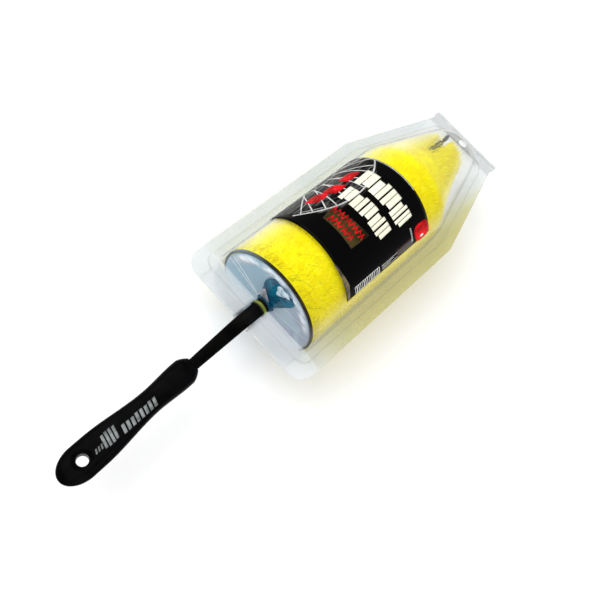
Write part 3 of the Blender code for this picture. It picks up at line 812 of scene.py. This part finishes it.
def print_slogan(olive, red):
    """A patch with two lines of slanted strokes."""
    olive.patch([(82.0, 71.5), (94.5, 69.0), (101.0, 110.5), (81.5, 109.5)], -0.008)
    for low, high, start, end, count in ((91.5, 98.0, 69.5, 109.0, 9), (83.5, 89.8, 74.5, 103.5, 7)):
        reach = (end - start) / count
        for number in range(count):
            at = start + reach * number
            foot = low + 1.0 + 2.4 * (number % 2)
            red.stroke((low, at + reach * 0.15), (high, at + reach * 0.55), 1.1, 0.01)
            red.stroke((high - 0.5, at + reach * 0.5), (foot, at + reach * 0.95), 0.9, 0.01)


def print_corner(red, white, shade):
    """A corner mark, small print and a strip of bars."""
    red.blob((150.5, 142.5), 8.6, 7.4, 0.1, 0.0, 3.4)
    white.blob((150.0, 147.5), 1.9, 1.1, 0.0, 0.03)
    for number in range(9):
        at = 131.5 + number * 1.7
        white.stroke((137.7, at), (139.3, at + 0.35), 0.55)
    shade.box(119.5, 139.0, 141.0, 149.3, -0.012)
    strip_low, strip_high = 142.2, 149.2
    for degrees in (strip_low, strip_high):
        white.stroke((71.0, degrees), (98.5, degrees), 0.45)
    for number in range(15):
        x = 71.2 + number * 1.95
        white.stroke((x, strip_low), (x, strip_high), 0.4 + 0.35 * (number * 7 % 4) / 3)
    for number in range(4):
        at = 143.6 + 1.5 * number
        white.stroke((101.5, at), (120.0 - 4.5 * (number % 3), at), 0.32)


def print_edges(brown, grey):
    """A brown strip along the near edge, and a thin border along the far one."""
    brown.patch([(62.4, 110.0), (63.4, 111.0), (66.8, 135.0), (62.2, 135.0)])
    brown.patch([(62.2, 135.0), (66.8, 135.0), (64.8, 149.4), (62.2, 149.4)])
    grey.patch([(LABEL_FAR_X - 1.0, 20.0), (LABEL_FAR_X - 0.4, 20.0),
                (LABEL_FAR_X - 0.4, 104.0), (LABEL_FAR_X - 1.0, 104.0)])


def make_prints():
    cream, red, grey, white, olive, brown, shade = (Ink() for _ in range(7))
    print_title(cream)
    print_wheel(grey, red, white)
    print_slogan(olive, red)
    print_corner(red, white, shade)
    print_edges(brown, grey)
    cream.build("print_blocks", plain("ink_cream", (0.80, 0.77, 0.60), (0.88, 0.86, 0.70), 0.2, 0.3, 40.0))
    red.build("print_red", plain("ink_red", (0.30, 0.001, 0.002), (0.72, 0.006, 0.010), 0.25, 0.35, 120.0,
                                 Specular_IOR_Level=0.05))
    grey.build("print_wheel", plain("ink_grey", (0.42, 0.43, 0.42), (0.66, 0.67, 0.66), 0.2, 0.3, 160.0))
    white.build("print_small", plain("ink_white", (0.74, 0.74, 0.70), (0.85, 0.85, 0.82), 0.2, 0.3, 160.0))
    olive.build("print_patch", plain("ink_olive", (0.010, 0.008, 0.002), (0.055, 0.040, 0.012), 0.2, 0.3,
                                     60.0, Specular_IOR_Level=0.05))
    brown.build("print_edge", plain("ink_brown", (0.03, 0.02, 0.006), (0.15, 0.11, 0.05), 0.2, 0.4, 180.0))
    shade.build("print_shade", plain("ink_shade", (0.014, 0.003, 0.003), (0.03, 0.006, 0.005), 0.2, 0.3,
                                     60.0))


# ---------------- wire, stem and ring
def lean_share(x):
    return smooth_step((x - LEAN_START_X) / (LEAN_END_X - LEAN_START_X))


def core_centre(x):
    """The wire's path: tilted sideways behind the case, and leaning up inside the nose."""
    x = np.asarray(x, float)
    side = math.tan(GRIP_TILT) * np.minimum(x, 0.0)
    return np.stack([x, side + TIP_SHIFT[0] * lean_share(x), TIP_SHIFT[1] * lean_share(x)], axis=-1)


def make_wire():
    for number, phase in ((1, 0.0), (2, math.pi)):
        x = np.arange(WIRE_START_X, WIRE_END_X, 1.4)
        turn = phase + math.tau * (x - WIRE_START_X) / TWIST_PITCH
        centres = core_centre(x) + around(0.0, STRAND_OFFSET, turn)
        tube_object(f"wire_{number}", centres, WIRE_R, 12, WIRE, "brush",
                    f"wire_strand_{number}")
    root = core_centre(WIRE_END_X)
    turns = np.radians(np.linspace(142.0, -142.0, 40))
    bow = [root + np.array([5.0 + 3.1 * math.cos(t), 0.0, 3.1 * math.sin(t)]) for t in turns]
    path = [root + np.array([0.9, 0.0, 1.9])] + bow + [root + np.array([0.9, 0.0, -1.9])]
    tube_object("coated_loop", path, 1.35, 16, VINYL, "brush", "tip_loop", (0.0, 1.0, 0.0))


def stem_radius(x):
    """The stem widens towards the case, with two shallow grooves near its end."""
    grooves = 0.12 * math.exp(-((x - 4.0) / 0.8) ** 2) + 0.1 * math.exp(-((x + 2.5) / 0.6) ** 2)
    return between(x, GRIP_FRONT_X, STEM_R_GRIP, 0.0, STEM_R_NEAR) - grooves


def make_stem():
    outer = [(x, stem_radius(x)) for x in np.arange(SHEATH_START_X, STEM_END_X, 1.2)]
    lip = [(STEM_END_X, stem_radius(STEM_END_X) - 0.4), (STEM_END_X, BORE_R)]
    inner = [(x, BORE_R) for x in np.arange(STEM_END_X - 4.0, SHEATH_START_X, -8.0)]
    profile = outer + lip + inner + [(SHEATH_START_X, BORE_R)]

    def follow(points):
        return points + core_centre(points[:, 0]) * np.array([0.0, 1.0, 1.0])

    lathe("stem_tube", profile, SHEATH, "stem_sheath", 48, follow)
    low, high = node_size("stop_ring", 0)
    bore = STEM_R_NEAR + GAP
    ring = rounded([(high, bore + 0.8), (low, bore + 0.8), (low, bore), (high, bore)], 0.35)
    lathe("collar_ring", ring, RING, "stop_ring", 64)


# ---------------- handle
def grip_section(x):
    """Half width and half thickness of the handle at x."""
    from_butt = min((x - GRIP_END_X) / 17.0, 1.0)
    close = math.sqrt(max(0.0, from_butt * (2.0 - from_butt)))
    swell = float(smooth_step((WAIST_X - x) / (WAIST_X - WIDEST_X)))
    shoulder = float(smooth_step((x - WAIST_X) / (SHOULDER_X - WAIST_X)))
    mouth = math.sqrt(float(smooth_step((GRIP_FRONT_X + 0.8 - x) / 8.5)))
    half = GRIP_WAIST_HALF + 3.5 * swell + 1.4 * shoulder
    thick = between(x, SHOULDER_X, 8.0, HANG_X, 5.2)
    return tuple((GRIP_MOUTH_R + (size - GRIP_MOUTH_R) * mouth) * close for size in (half, thick))


def grip_place(points):
    """Handle coordinates to the case frame: the handle is tilted a little sideways."""
    x, y, z = np.asarray(points, float).T
    c, s = math.cos(GRIP_TILT), math.sin(GRIP_TILT)
    return np.stack([x * c - y * s, x * s + y * c, z], axis=1)


def grip_ring(x, sides):
    """One ring of the handle's skin, dished round the hang hole."""
    half, thick = grip_section(x)
    c, s = np.cos(full_turn(sides)), np.sin(full_turn(sides))
    y = half * np.sign(c) * np.abs(c) ** 0.85
    z = thick * np.sign(s) * np.abs(s) ** 0.85
    dish = 1.5 * smooth_step((7.4 - np.hypot(x - HANG_X, y)) / 3.2)
    z = np.sign(z) * np.maximum(np.abs(z) - dish * (np.abs(z) > 2.0), 0.0)
    return np.stack([np.full(sides, x), y, z], axis=1)


def make_handle():
    sides, count = 96, 150
    shares = 0.5 - 0.5 * np.cos(np.pi * np.linspace(0.03, 0.995, count))
    stations = [GRIP_FRONT_X] + [GRIP_FRONT_X - (GRIP_FRONT_X - GRIP_END_X) * share for share in shares]
    points = np.concatenate([grip_ring(x, sides) for x in stations])
    faces = [face[::-1] for face in tube_faces(len(stations), sides)]
    made = new_object("handle_body", grip_place(points), faces, HANDLE, "brush",
                      "handle_grip", 45.0)
    depth = GRIP_FRONT_X + 2.0 - SOCKET_END_X
    hole, socket = grip_place([(HANG_X, 0.0, 0.0), (SOCKET_END_X + depth / 2, 0.0, 0.0)])
    cut(made, [rod(hole, HOLE_R, 40.0, 72),
               rod(socket, STEM_R_GRIP + GAP, depth, 48, (0.0, math.pi / 2, GRIP_TILT))], "EXACT")
    made.data.shade_smooth()
    made.data.set_sharp_from_angle(angle=math.radians(35.0))


def handle_top(x, y):
    """Height of the handle's upper face at a point in handle coordinates."""
    half, thick = grip_section(x)
    c = min(abs(y) / half, 1.0) ** (1 / 0.85)
    return thick * math.sqrt(max(0.0, 1.0 - c * c)) ** 0.85


def make_handle_marks():
    """Plain grey bars along the handle, where the print was."""
    points, faces = [], []

    def bar(x0, width, low, high, lean):
        rows, columns = 7, 3
        faces.extend(grid_faces(rows, columns, start=len(points)))
        for v in np.linspace(0.0, 1.0, rows):
            for u in np.linspace(0.0, 1.0, columns):
                x, y = x0 + width * u + lean * (v - 0.5), low + (high - low) * v
                points.append((x, y, handle_top(x, y) + 0.05))

    for number in range(3):
        bar(-131.5 + 2.2 * number, 1.3, -3.4, -0.4, 1.4)
    for number in range(4):
        reach = 5.4 - 0.5 * abs(number - 1.5)
        bar(-124.6 + 2.9 * number, 2.0, -reach, reach - 1.0, 2.2)
    for number in range(8):
        bar(-110.6 + 3.6 * number, 2.4, -5.6, 0.2 - 0.25 * (number % 3), 1.6)
    made = new_object("handle_print", grip_place(points), faces, HANDLE_INK, "brush")
    thicken(made, 0.03, 1.0)


# ---------------- end disc, rim and hub film
def crease_weight(y, z):
    """From 0 to 1, how close a point of the film is to one of its sharp folds."""
    weight = np.zeros(len(y))
    for (y0, z0), (y1, z1), strength in CREASES:
        length = math.hypot(y1 - y0, z1 - z0)
        along = ((y - y0) * (y1 - y0) + (z - z0) * (z1 - z0)) / length
        off = ((y - y0) * (z1 - z0) - (z - z0) * (y1 - y0)) / length
        beyond = np.maximum(np.maximum(-along, along - length), 0.0)
        weight = np.maximum(weight, strength * np.exp(-(np.hypot(off, beyond) / CREASE_WIDTH) ** 2))
    return weight


def glint_weight(points):
    """The crumpled bright band under the disc's upper edge: a painted highlight, and a lift of the film."""
    reach = np.hypot(points[:, 1], points[:, 2])
    band = np.exp(-((reach - DISC_R * 0.9) / 2.6) ** 2) * smooth_step((points[:, 2] - 8.0) / 14.0)
    return np.clip(band * (0.8 + 0.9 * waves(points, 17, 9.0)), 0.0, 1.0)


def disc_wrinkle(points):
    """Folds and soft dimples of the film, which stand out towards the handle."""
    y, z = points[:, 1], points[:, 2]
    lift = waves(points * np.array([0.0, 1.0, 1.0]), 11, 34.0) * 0.35
    lift += 0.6 * crease_weight(y, z) + 0.9 * glint_weight(points)
    fade = smooth_step((DISC_R - np.hypot(y, z)) / 3.0)
    out = points.copy()
    out[:, 0] -= np.clip(lift, -0.2, 1.6) * fade
    return out


def make_disc():
    hole = STEM_R_NEAR + GAP + 0.1
    front = [(DISC_X, radius) for radius in np.linspace(DISC_R, hole, 110)]
    back = [(DISC_X + 0.5, hole), (DISC_X + 0.5, DISC_R)]
    made = lathe("film_disc", front + back, FILM, "end_disc", 400, disc_wrinkle)
    places = np.array([vertex.co for vertex in made.data.vertices]) / MM - ZERO
    # the film's colour is whitened along its folds and along the bright band, a painted highlight
    crease_and_glint = np.maximum(crease_weight(places[:, 1], places[:, 2]), glint_weight(places))
    made.data.attributes.new("crease_and_glint", "FLOAT", "POINT").data.foreach_set("value", crease_and_glint.astype(np.float32))
    low, high = node_size("disc_rim", 0)
    profile = rounded([(high, HEAD_R), (low, HEAD_R - 0.3), (low, DISC_R + GAP), (high, DISC_R + GAP)], 0.5)
    lathe("film_rim", profile, RIM, "disc_rim", 180)


def catmull(loop, t):
    """A point on the smooth closed curve through a loop of points."""
    u = t - int(t)
    a, b, c, d = (loop[(int(t) + k) % len(loop)] for k in (-1, 0, 1, 2))
    curve = (2 * b) + (c - a) * u + (2 * a - 5 * b + 4 * c - d) * u ** 2 + (3 * b - a - 3 * c + d) * u ** 3
    return 0.5 * curve


def film_patch(name, outline, finish, x_near, x_far, seed, crumple, replaced=None):
    """A crumpled scrap of film in front of the disc; outline is a loop of (y, z)."""
    outline = np.array(outline, float)
    count, rings = 96, 14
    spline = np.array([catmull(outline, t) for t in np.linspace(0, len(outline), count, endpoint=False)])
    middle = spline.mean(axis=0)
    points = []
    for share in np.linspace(0.02, 1.0, rings):
        flat = middle + (spline - middle) * share
        lump = waves(np.column_stack([np.zeros(count), flat]), seed, 9.0)
        depth = x_near + (x_far - x_near) * share ** 2 + crumple * lump
        points.append(np.column_stack([np.clip(depth, FILM_NEAR_X, FILM_FAR_X), flat]))
    faces = grid_faces(rings, count, closed=True)
    faces.append(tuple(range(count)))
    faces = [face[::-1] for face in faces]
    made = new_object(name, np.concatenate(points), faces, finish, "brush", replaced, 60.0)
    thicken(made, 0.12)


def make_hub():
    arm = [(-5.0, 1.0), (-9.5, 9.0), (-15.5, 20.0), (-19.0, 29.0), (-16.0, 35.0), (-12.0, 32.5), (-9.0, 26.0),
           (-6.5, 31.0), (-2.0, 36.5), (4.0, 35.0), (8.0, 26.5), (7.5, 16.0), (6.5, 7.0), (0.0, 3.0)]
    glint_outline = [(-4.0, 26.0), (-8.5, 29.0), (-11.0, 32.6), (-14.5, 35.0), (-12.0, 38.6), (-8.0, 38.2),
            (-5.5, 39.6), (-2.4, 36.0), (-3.6, 31.5)]
    fold = [(5.4, 7.5), (6.6, 15.5), (4.2, 19.5), (0.6, 14.0), (-2.6, 8.6), (1.5, 8.2)]
    film_patch("hub_film", arm, TEAL, 22.6, 24.4, 3, 0.45, "hub_cone")
    # the pale scrap stands for a highlight on the teal film: a painted highlight
    film_patch("hub_glint", glint_outline, GLINT_HIGHLIGHT, 21.9, 22.6, 9, 0.25)
    film_patch("hub_fold", fold, FOLD, 21.9, 22.6, 5, 0.2)
    foot = STEM_R_NEAR + 0.4
    cuff = [(23.4, foot), (24.9, 7.0), (24.8, 7.8), (22.2, foot + 0.5), (22.2, foot)]

    def crumple(points):
        out = points.copy()
        out[:, 1:] *= (1.0 + 0.06 * waves(points, 21, 8.0))[:, None]
        return out

    lathe("hub_cuff", cuff, TEAL, None, 72, crumple)


# ---------------- bristles
def head_surface(x, turn):
    """Y and Z of the bristles' outer surface: round at first, leaning with the wire at the nose."""
    taper = np.clip((x - TAPER_X) / (HEAD_END_X - TAPER_X), 0.0, 1.0)
    half = HEAD_R - (HEAD_R - HEAD_END_HALF) * taper ** 0.95
    high = HEAD_R - (HEAD_R - HEAD_END_HIGH) * taper
    deep = HEAD_R - (HEAD_R - HEAD_END_DEEP) * taper ** 0.9
    tall = np.where(np.sin(turn) > 0, high, deep)
    y = 0.55 * TIP_SHIFT[0] * lean_share(x) + half * np.cos(turn)
    z = 0.22 * TIP_SHIFT[1] * lean_share(x) + tall * np.sin(turn)
    return y, z


def stay_inside(points):
    """Keep points of the brush inside the round it turns in, clear of the case, and off the disc."""
    reach = np.hypot(points[:, 1], points[:, 2])
    half = np.interp(points[:, 0], (TAPER_X, DOME_END_X), (DOME_R, DOME_END_R))
    crown = np.interp(points[:, 0], (TAPER_X, SLOPE_X, DOME_END_X), (DOME_R, SLOPE_HIGH, SLOPE_LOW))
    limit = np.minimum(np.minimum(half, crown) - SHEET - 0.5, HEAD_R - 0.07)
    points[:, 1:] *= np.minimum(1.0, limit / np.maximum(reach, 1e-6))[:, None]
    points[:, 0] = np.maximum(points[:, 0], ROOT_X + 0.05)
    return points


def inner_core(start, end, scale, tone):
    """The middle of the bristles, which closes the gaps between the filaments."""
    count, sides = max(6, int((end - start) / 2.0)), 120
    rows = []
    for x in np.linspace(start, end, count):
        y, z = head_surface(np.full(sides, x), full_turn(sides))
        late = float(smooth_step((x - 196.0) / 40.0))
        share = scale - 0.30 * late
        top = np.where(z > 0, 1.0 - 0.35 * late, 1.0)
        row = np.column_stack([np.full(sides, x), y * share, z * share * top])
        row[:, 1:] *= (1.0 + 0.012 * waves(row, 31, 7.0, 2))[:, None]
        rows.append(row)
    points = stay_inside(np.concatenate(rows))
    *quads, first, last = tube_faces(count, sides)
    caps = [(ring[0], ring[k], ring[k + 1]) for ring in (first, last) for k in range(1, sides - 1)]
    return points, np.array(quads), np.array(caps), np.full(len(points), tone)


def strands(rng, roots, tips, bend, width):
    """Three-sided filaments from roots to tips, each bent sideways and with a tone of its own."""
    count = len(roots)
    ahead = tips - roots
    ahead = ahead / np.linalg.norm(ahead, axis=1)[:, None]
    side = np.cross(ahead, rng.normal(size=(count, 3)))
    side /= np.linalg.norm(side, axis=1)[:, None]
    up = np.cross(ahead, side)
    rings = []
    for place, size in ((roots, 1.0), ((roots + tips) / 2 + bend, 0.85), (tips, 0.45)):
        for turn in full_turn(3):
            rings.append(place + (side * math.cos(turn) + up * math.sin(turn)) * width[:, None] * size)
    points = stay_inside(np.stack(rings, axis=1).reshape(-1, 3))
    base = np.arange(count)[:, None] * 9
    quads = (base[:, :, None] + np.array(grid_faces(3, 3, closed=True))).reshape(-1, 4)
    caps = np.concatenate([base + np.array([[6, 7, 8]]), base + np.array([[2, 1, 0]])])
    return points, quads, caps, np.repeat(rng.uniform(0.0, 1.0, count), 9)


def filament_object(name, parts, finish, replaced=None):
    """One mesh from several (points, quads, caps, tones) parts, made quickly from whole arrays."""
    points = np.concatenate([part[0] for part in parts])
    loops, starts = [], []
    offset, position = 0, 0
    for corners, quads, caps, _ in parts:
        for faces in (quads, caps):
            loops.append((faces + offset).reshape(-1))
            starts.append(position + np.arange(len(faces)) * faces.shape[1])
            position += faces.size
        offset += len(corners)
    starts = np.concatenate(starts).astype(np.int32)
    mesh = bpy.data.meshes.new(name)
    mesh.vertices.add(len(points))
    mesh.vertices.foreach_set("co", world(points).astype(np.float32).reshape(-1))
    mesh.loops.add(position)
    mesh.loops.foreach_set("vertex_index", np.concatenate(loops).astype(np.int32))
    mesh.polygons.add(len(starts))
    mesh.polygons.foreach_set("loop_start", starts)
    mesh.update(calc_edges=True)
    mesh.validate()
    tones = np.concatenate([part[3] for part in parts]).astype(np.float32)
    mesh.attributes.new("tone", "FLOAT", "POINT").data.foreach_set("value", tones)
    place_mesh(name, mesh, finish, "brush", replaced)


def surface_strands(rng, low, high, density, reach, sweep):
    """Filaments that stand on the head's surface between two stations along the brush."""
    count = int((high - low) * density)
    x = rng.uniform(low, high, count)
    y, z = head_surface(x, rng.uniform(0.0, math.tau, count))
    tips = np.column_stack([x, y, z])
    inward = core_centre(x) - tips
    inward /= np.linalg.norm(inward, axis=1)[:, None]
    roots = tips + inward * (rng.uniform(0.6, 1.0, count)[:, None] * reach)
    drift = np.array([-1.0, 0.0, 0.0])
    clump = waves(tips, 41, 16.0, 2)[:, None]
    roots += drift * (sweep + rng.normal(0.0, 2.2, (count, 1)))
    roots += np.cross(drift, inward) * (clump * 2.4 + rng.normal(0, 1.3, (count, 1)))
    tips = tips + inward * rng.normal(-0.35, 0.3, count)[:, None].clip(-1.2, 0.15)
    bend = rng.normal(0.0, 0.35, (count, 3)) - inward * 0.5
    return roots, tips, bend, rng.uniform(0.11, 0.2, count)


def make_root(rng):
    core = inner_core(ROOT_X + 0.1, ROOT_END_X, 0.95, 0.2)
    hair = strands(rng, *surface_strands(rng, ROOT_X + 0.5, ROOT_END_X, 260, 7.0, -1.0))
    filament_object("bristles_root", [core, hair], YELLOW, "bristle_root")


def make_ring(number, rng):
    low, high = node_size(f"bristle_ring_{number}", 0)
    core = inner_core(low - 0.6, high + 0.6, 0.955, 0.25)
    hair = strands(rng, *surface_strands(rng, low, high, 190, 7.0, 2.6))
    filament_object(f"bristles_{number}", [core, hair], YELLOW, f"bristle_ring_{number}")


def over_wire(tips, roots):
    """True for filaments in the thin stretch above the bared end of the wire."""
    middle = (tips + roots) / 2
    off = np.abs(0.99 * (middle[:, 1] - TIP_SHIFT[0]) + 0.16 * (middle[:, 2] - TIP_SHIFT[1]))
    return (tips[:, 0] > 212.0) & (middle[:, 2] > 10.0) & (off < 5.0)


def make_nose(rng):
    core = inner_core(NOSE_X - 0.6, NOSE_END_X + 1.0, 0.955, 0.3)
    roots, tips, bend, width = surface_strands(rng, NOSE_X, NOSE_END_X, 168, 8.0, 4.0)
    keep = ~over_wire(tips, roots) | (rng.uniform(size=len(tips)) < 0.06)
    standing = (roots[keep], tips[keep], bend[keep], width[keep])
    # the loose ends in front, which fan out of the core past the last turn of the wire
    count = 2600
    start = rng.uniform(216.0, NOSE_END_X - 1.0, count)
    y, z = head_surface(start, rng.uniform(0.0, math.tau, count))
    share = np.sqrt(rng.uniform(0.05, 0.85, count))
    roots = np.column_stack([start, y * share * 0.8, z * share * 0.7])
    length = rng.uniform(8.0, 17.0, count)[:, None]
    ahead = np.column_stack([np.ones(count), y * 0.004, z * 0.004]) + rng.normal(0.0, 0.16, (count, 3))
    tips = roots + ahead * length
    tips[:, 0] = np.minimum(tips[:, 0], rng.uniform(248.0, 261.5, count))
    skin = np.hypot(*head_surface(tips[:, 0], np.arctan2(tips[:, 2], tips[:, 1])))
    tips[:, 1:] *= np.minimum(1.0, skin / np.maximum(np.hypot(tips[:, 1], tips[:, 2]), 1e-6))[:, None]
    clear = ~over_wire(tips, roots)
    bend = rng.normal(0.0, 0.5, (count, 3))
    loose = (roots[clear], tips[clear], bend[clear], rng.uniform(0.1, 0.18, count)[clear])
    parts = [core, strands(rng, *standing), strands(rng, *loose)]
    filament_object("bristles_nose", parts, YELLOW, "bristle_nose")


def make_dark_hairs(rng):
    """Dark hairs that fan out of the rim over the yellow, and a few stray ones further along."""
    rim, stray = 260, 40
    turn = rng.uniform(0.0, math.tau, rim)
    length = rng.gamma(2.2, 2.6, rim).clip(2.0, 15.0)
    start = rng.uniform(ROOT_X + 0.2, ROOT_X + 2.5, rim)
    lean = rng.normal(0.0, 0.09, rim) + 0.05
    turn = np.append(turn, rng.uniform(0.0, math.tau, stray))
    length = np.append(length, rng.uniform(3.0, 11.0, stray))
    start = np.append(start, rng.uniform(ROOT_X + 6.0, ROOT_X + 28.0, stray))
    lean = np.append(lean, rng.normal(0.0, 0.25, stray))
    radius, ends = HEAD_R - 0.05, turn + lean * length / 8.0
    roots, tips = around(start, radius - 0.5, turn), around(start + length, radius, ends)
    bend = around(0.0, rng.uniform(0.1, 0.5, rim + stray), turn) + rng.normal(0.0, 0.3, (rim + stray, 3))
    hair = strands(rng, roots, tips, bend, rng.uniform(0.05, 0.11, rim + stray))
    filament_object("bristle_hairs", [hair], HAIR)


# ---------------- stage, light and camera
def make_lamp(name, place, aim, width, height, power):
    light = bpy.data.lights.new(name, "AREA")
    light.shape = "RECTANGLE"
    light.size = width
    light.size_y = height
    light.energy = power
    made = bpy.data.objects.new(name, light)
    made.location = place
    made.rotation_euler = (Vector(aim) - Vector(place)).to_track_quat("-Z", "Y").to_euler()
    bpy.context.scene.collection.objects.link(made)


def make_stage():
    bpy.ops.mesh.primitive_plane_add(size=40.0, location=(0.0, 0.0, -0.0004))
    floor = bpy.context.object
    floor.name = "floor"
    floor.data.materials.append(Finish("floor", (0.92, 0.92, 0.92), 0.9).material)
    sky = bpy.data.worlds.new("studio")
    sky.use_nodes = True
    background = sky.node_tree.nodes["Background"]
    background.inputs["Color"].default_value = (1.0, 1.0, 1.0, 1.0)
    background.inputs["Strength"].default_value = 0.6
    bpy.context.scene.world = sky
    make_lamp("key", (-0.15, 0.95, 1.15), (0.05, 0.0, 0.05), 1.5, 1.1, 11.0)
    make_lamp("fill", (-0.35, -1.1, 0.9), (0.05, 0.0, 0.05), 0.9, 0.9, 5.5)
    make_lamp("top", (-0.35, 0.1, 1.6), (0.05, 0.0, 0.0), 1.4, 1.4, 10.0)


def make_camera():
    data = bpy.data.cameras.new("camera")
    data.lens = 41.726
    data.sensor_width = 36.0
    camera = bpy.data.objects.new("camera", data)
    camera.location = ((ZERO[0] - 190.85) * MM, -0.0716, 0.4978)
    camera.rotation_euler = (0.4184, -0.2769, -0.7842)
    bpy.context.scene.collection.objects.link(camera)
    bpy.context.scene.camera = camera


# ---------------- build
make_camera()
make_stage()
make_shell("front_sheet", dome_curve, 1, CLEAR_FRONT, "lid", "front_shell")
make_shell("back_sheet", tub_curve, -1, CLEAR_BACK, "case", "back_shell")
make_fold()
make_label_sheet()
make_prints()
make_wire()
make_stem()
make_handle()
make_handle_marks()
make_disc()
make_hub()
random = np.random.default_rng(7)
make_root(random)
for ring_number in (1, 2, 3, 4):
    make_ring(ring_number, random)
make_nose(random)
make_dark_hairs(random)
frame["nodes"]["crimp_ferrule"].data.materials.clear()
frame["nodes"]["crimp_ferrule"].data.materials.append(STEEL)
bpy.context.scene.view_settings.view_transform = "Standard"
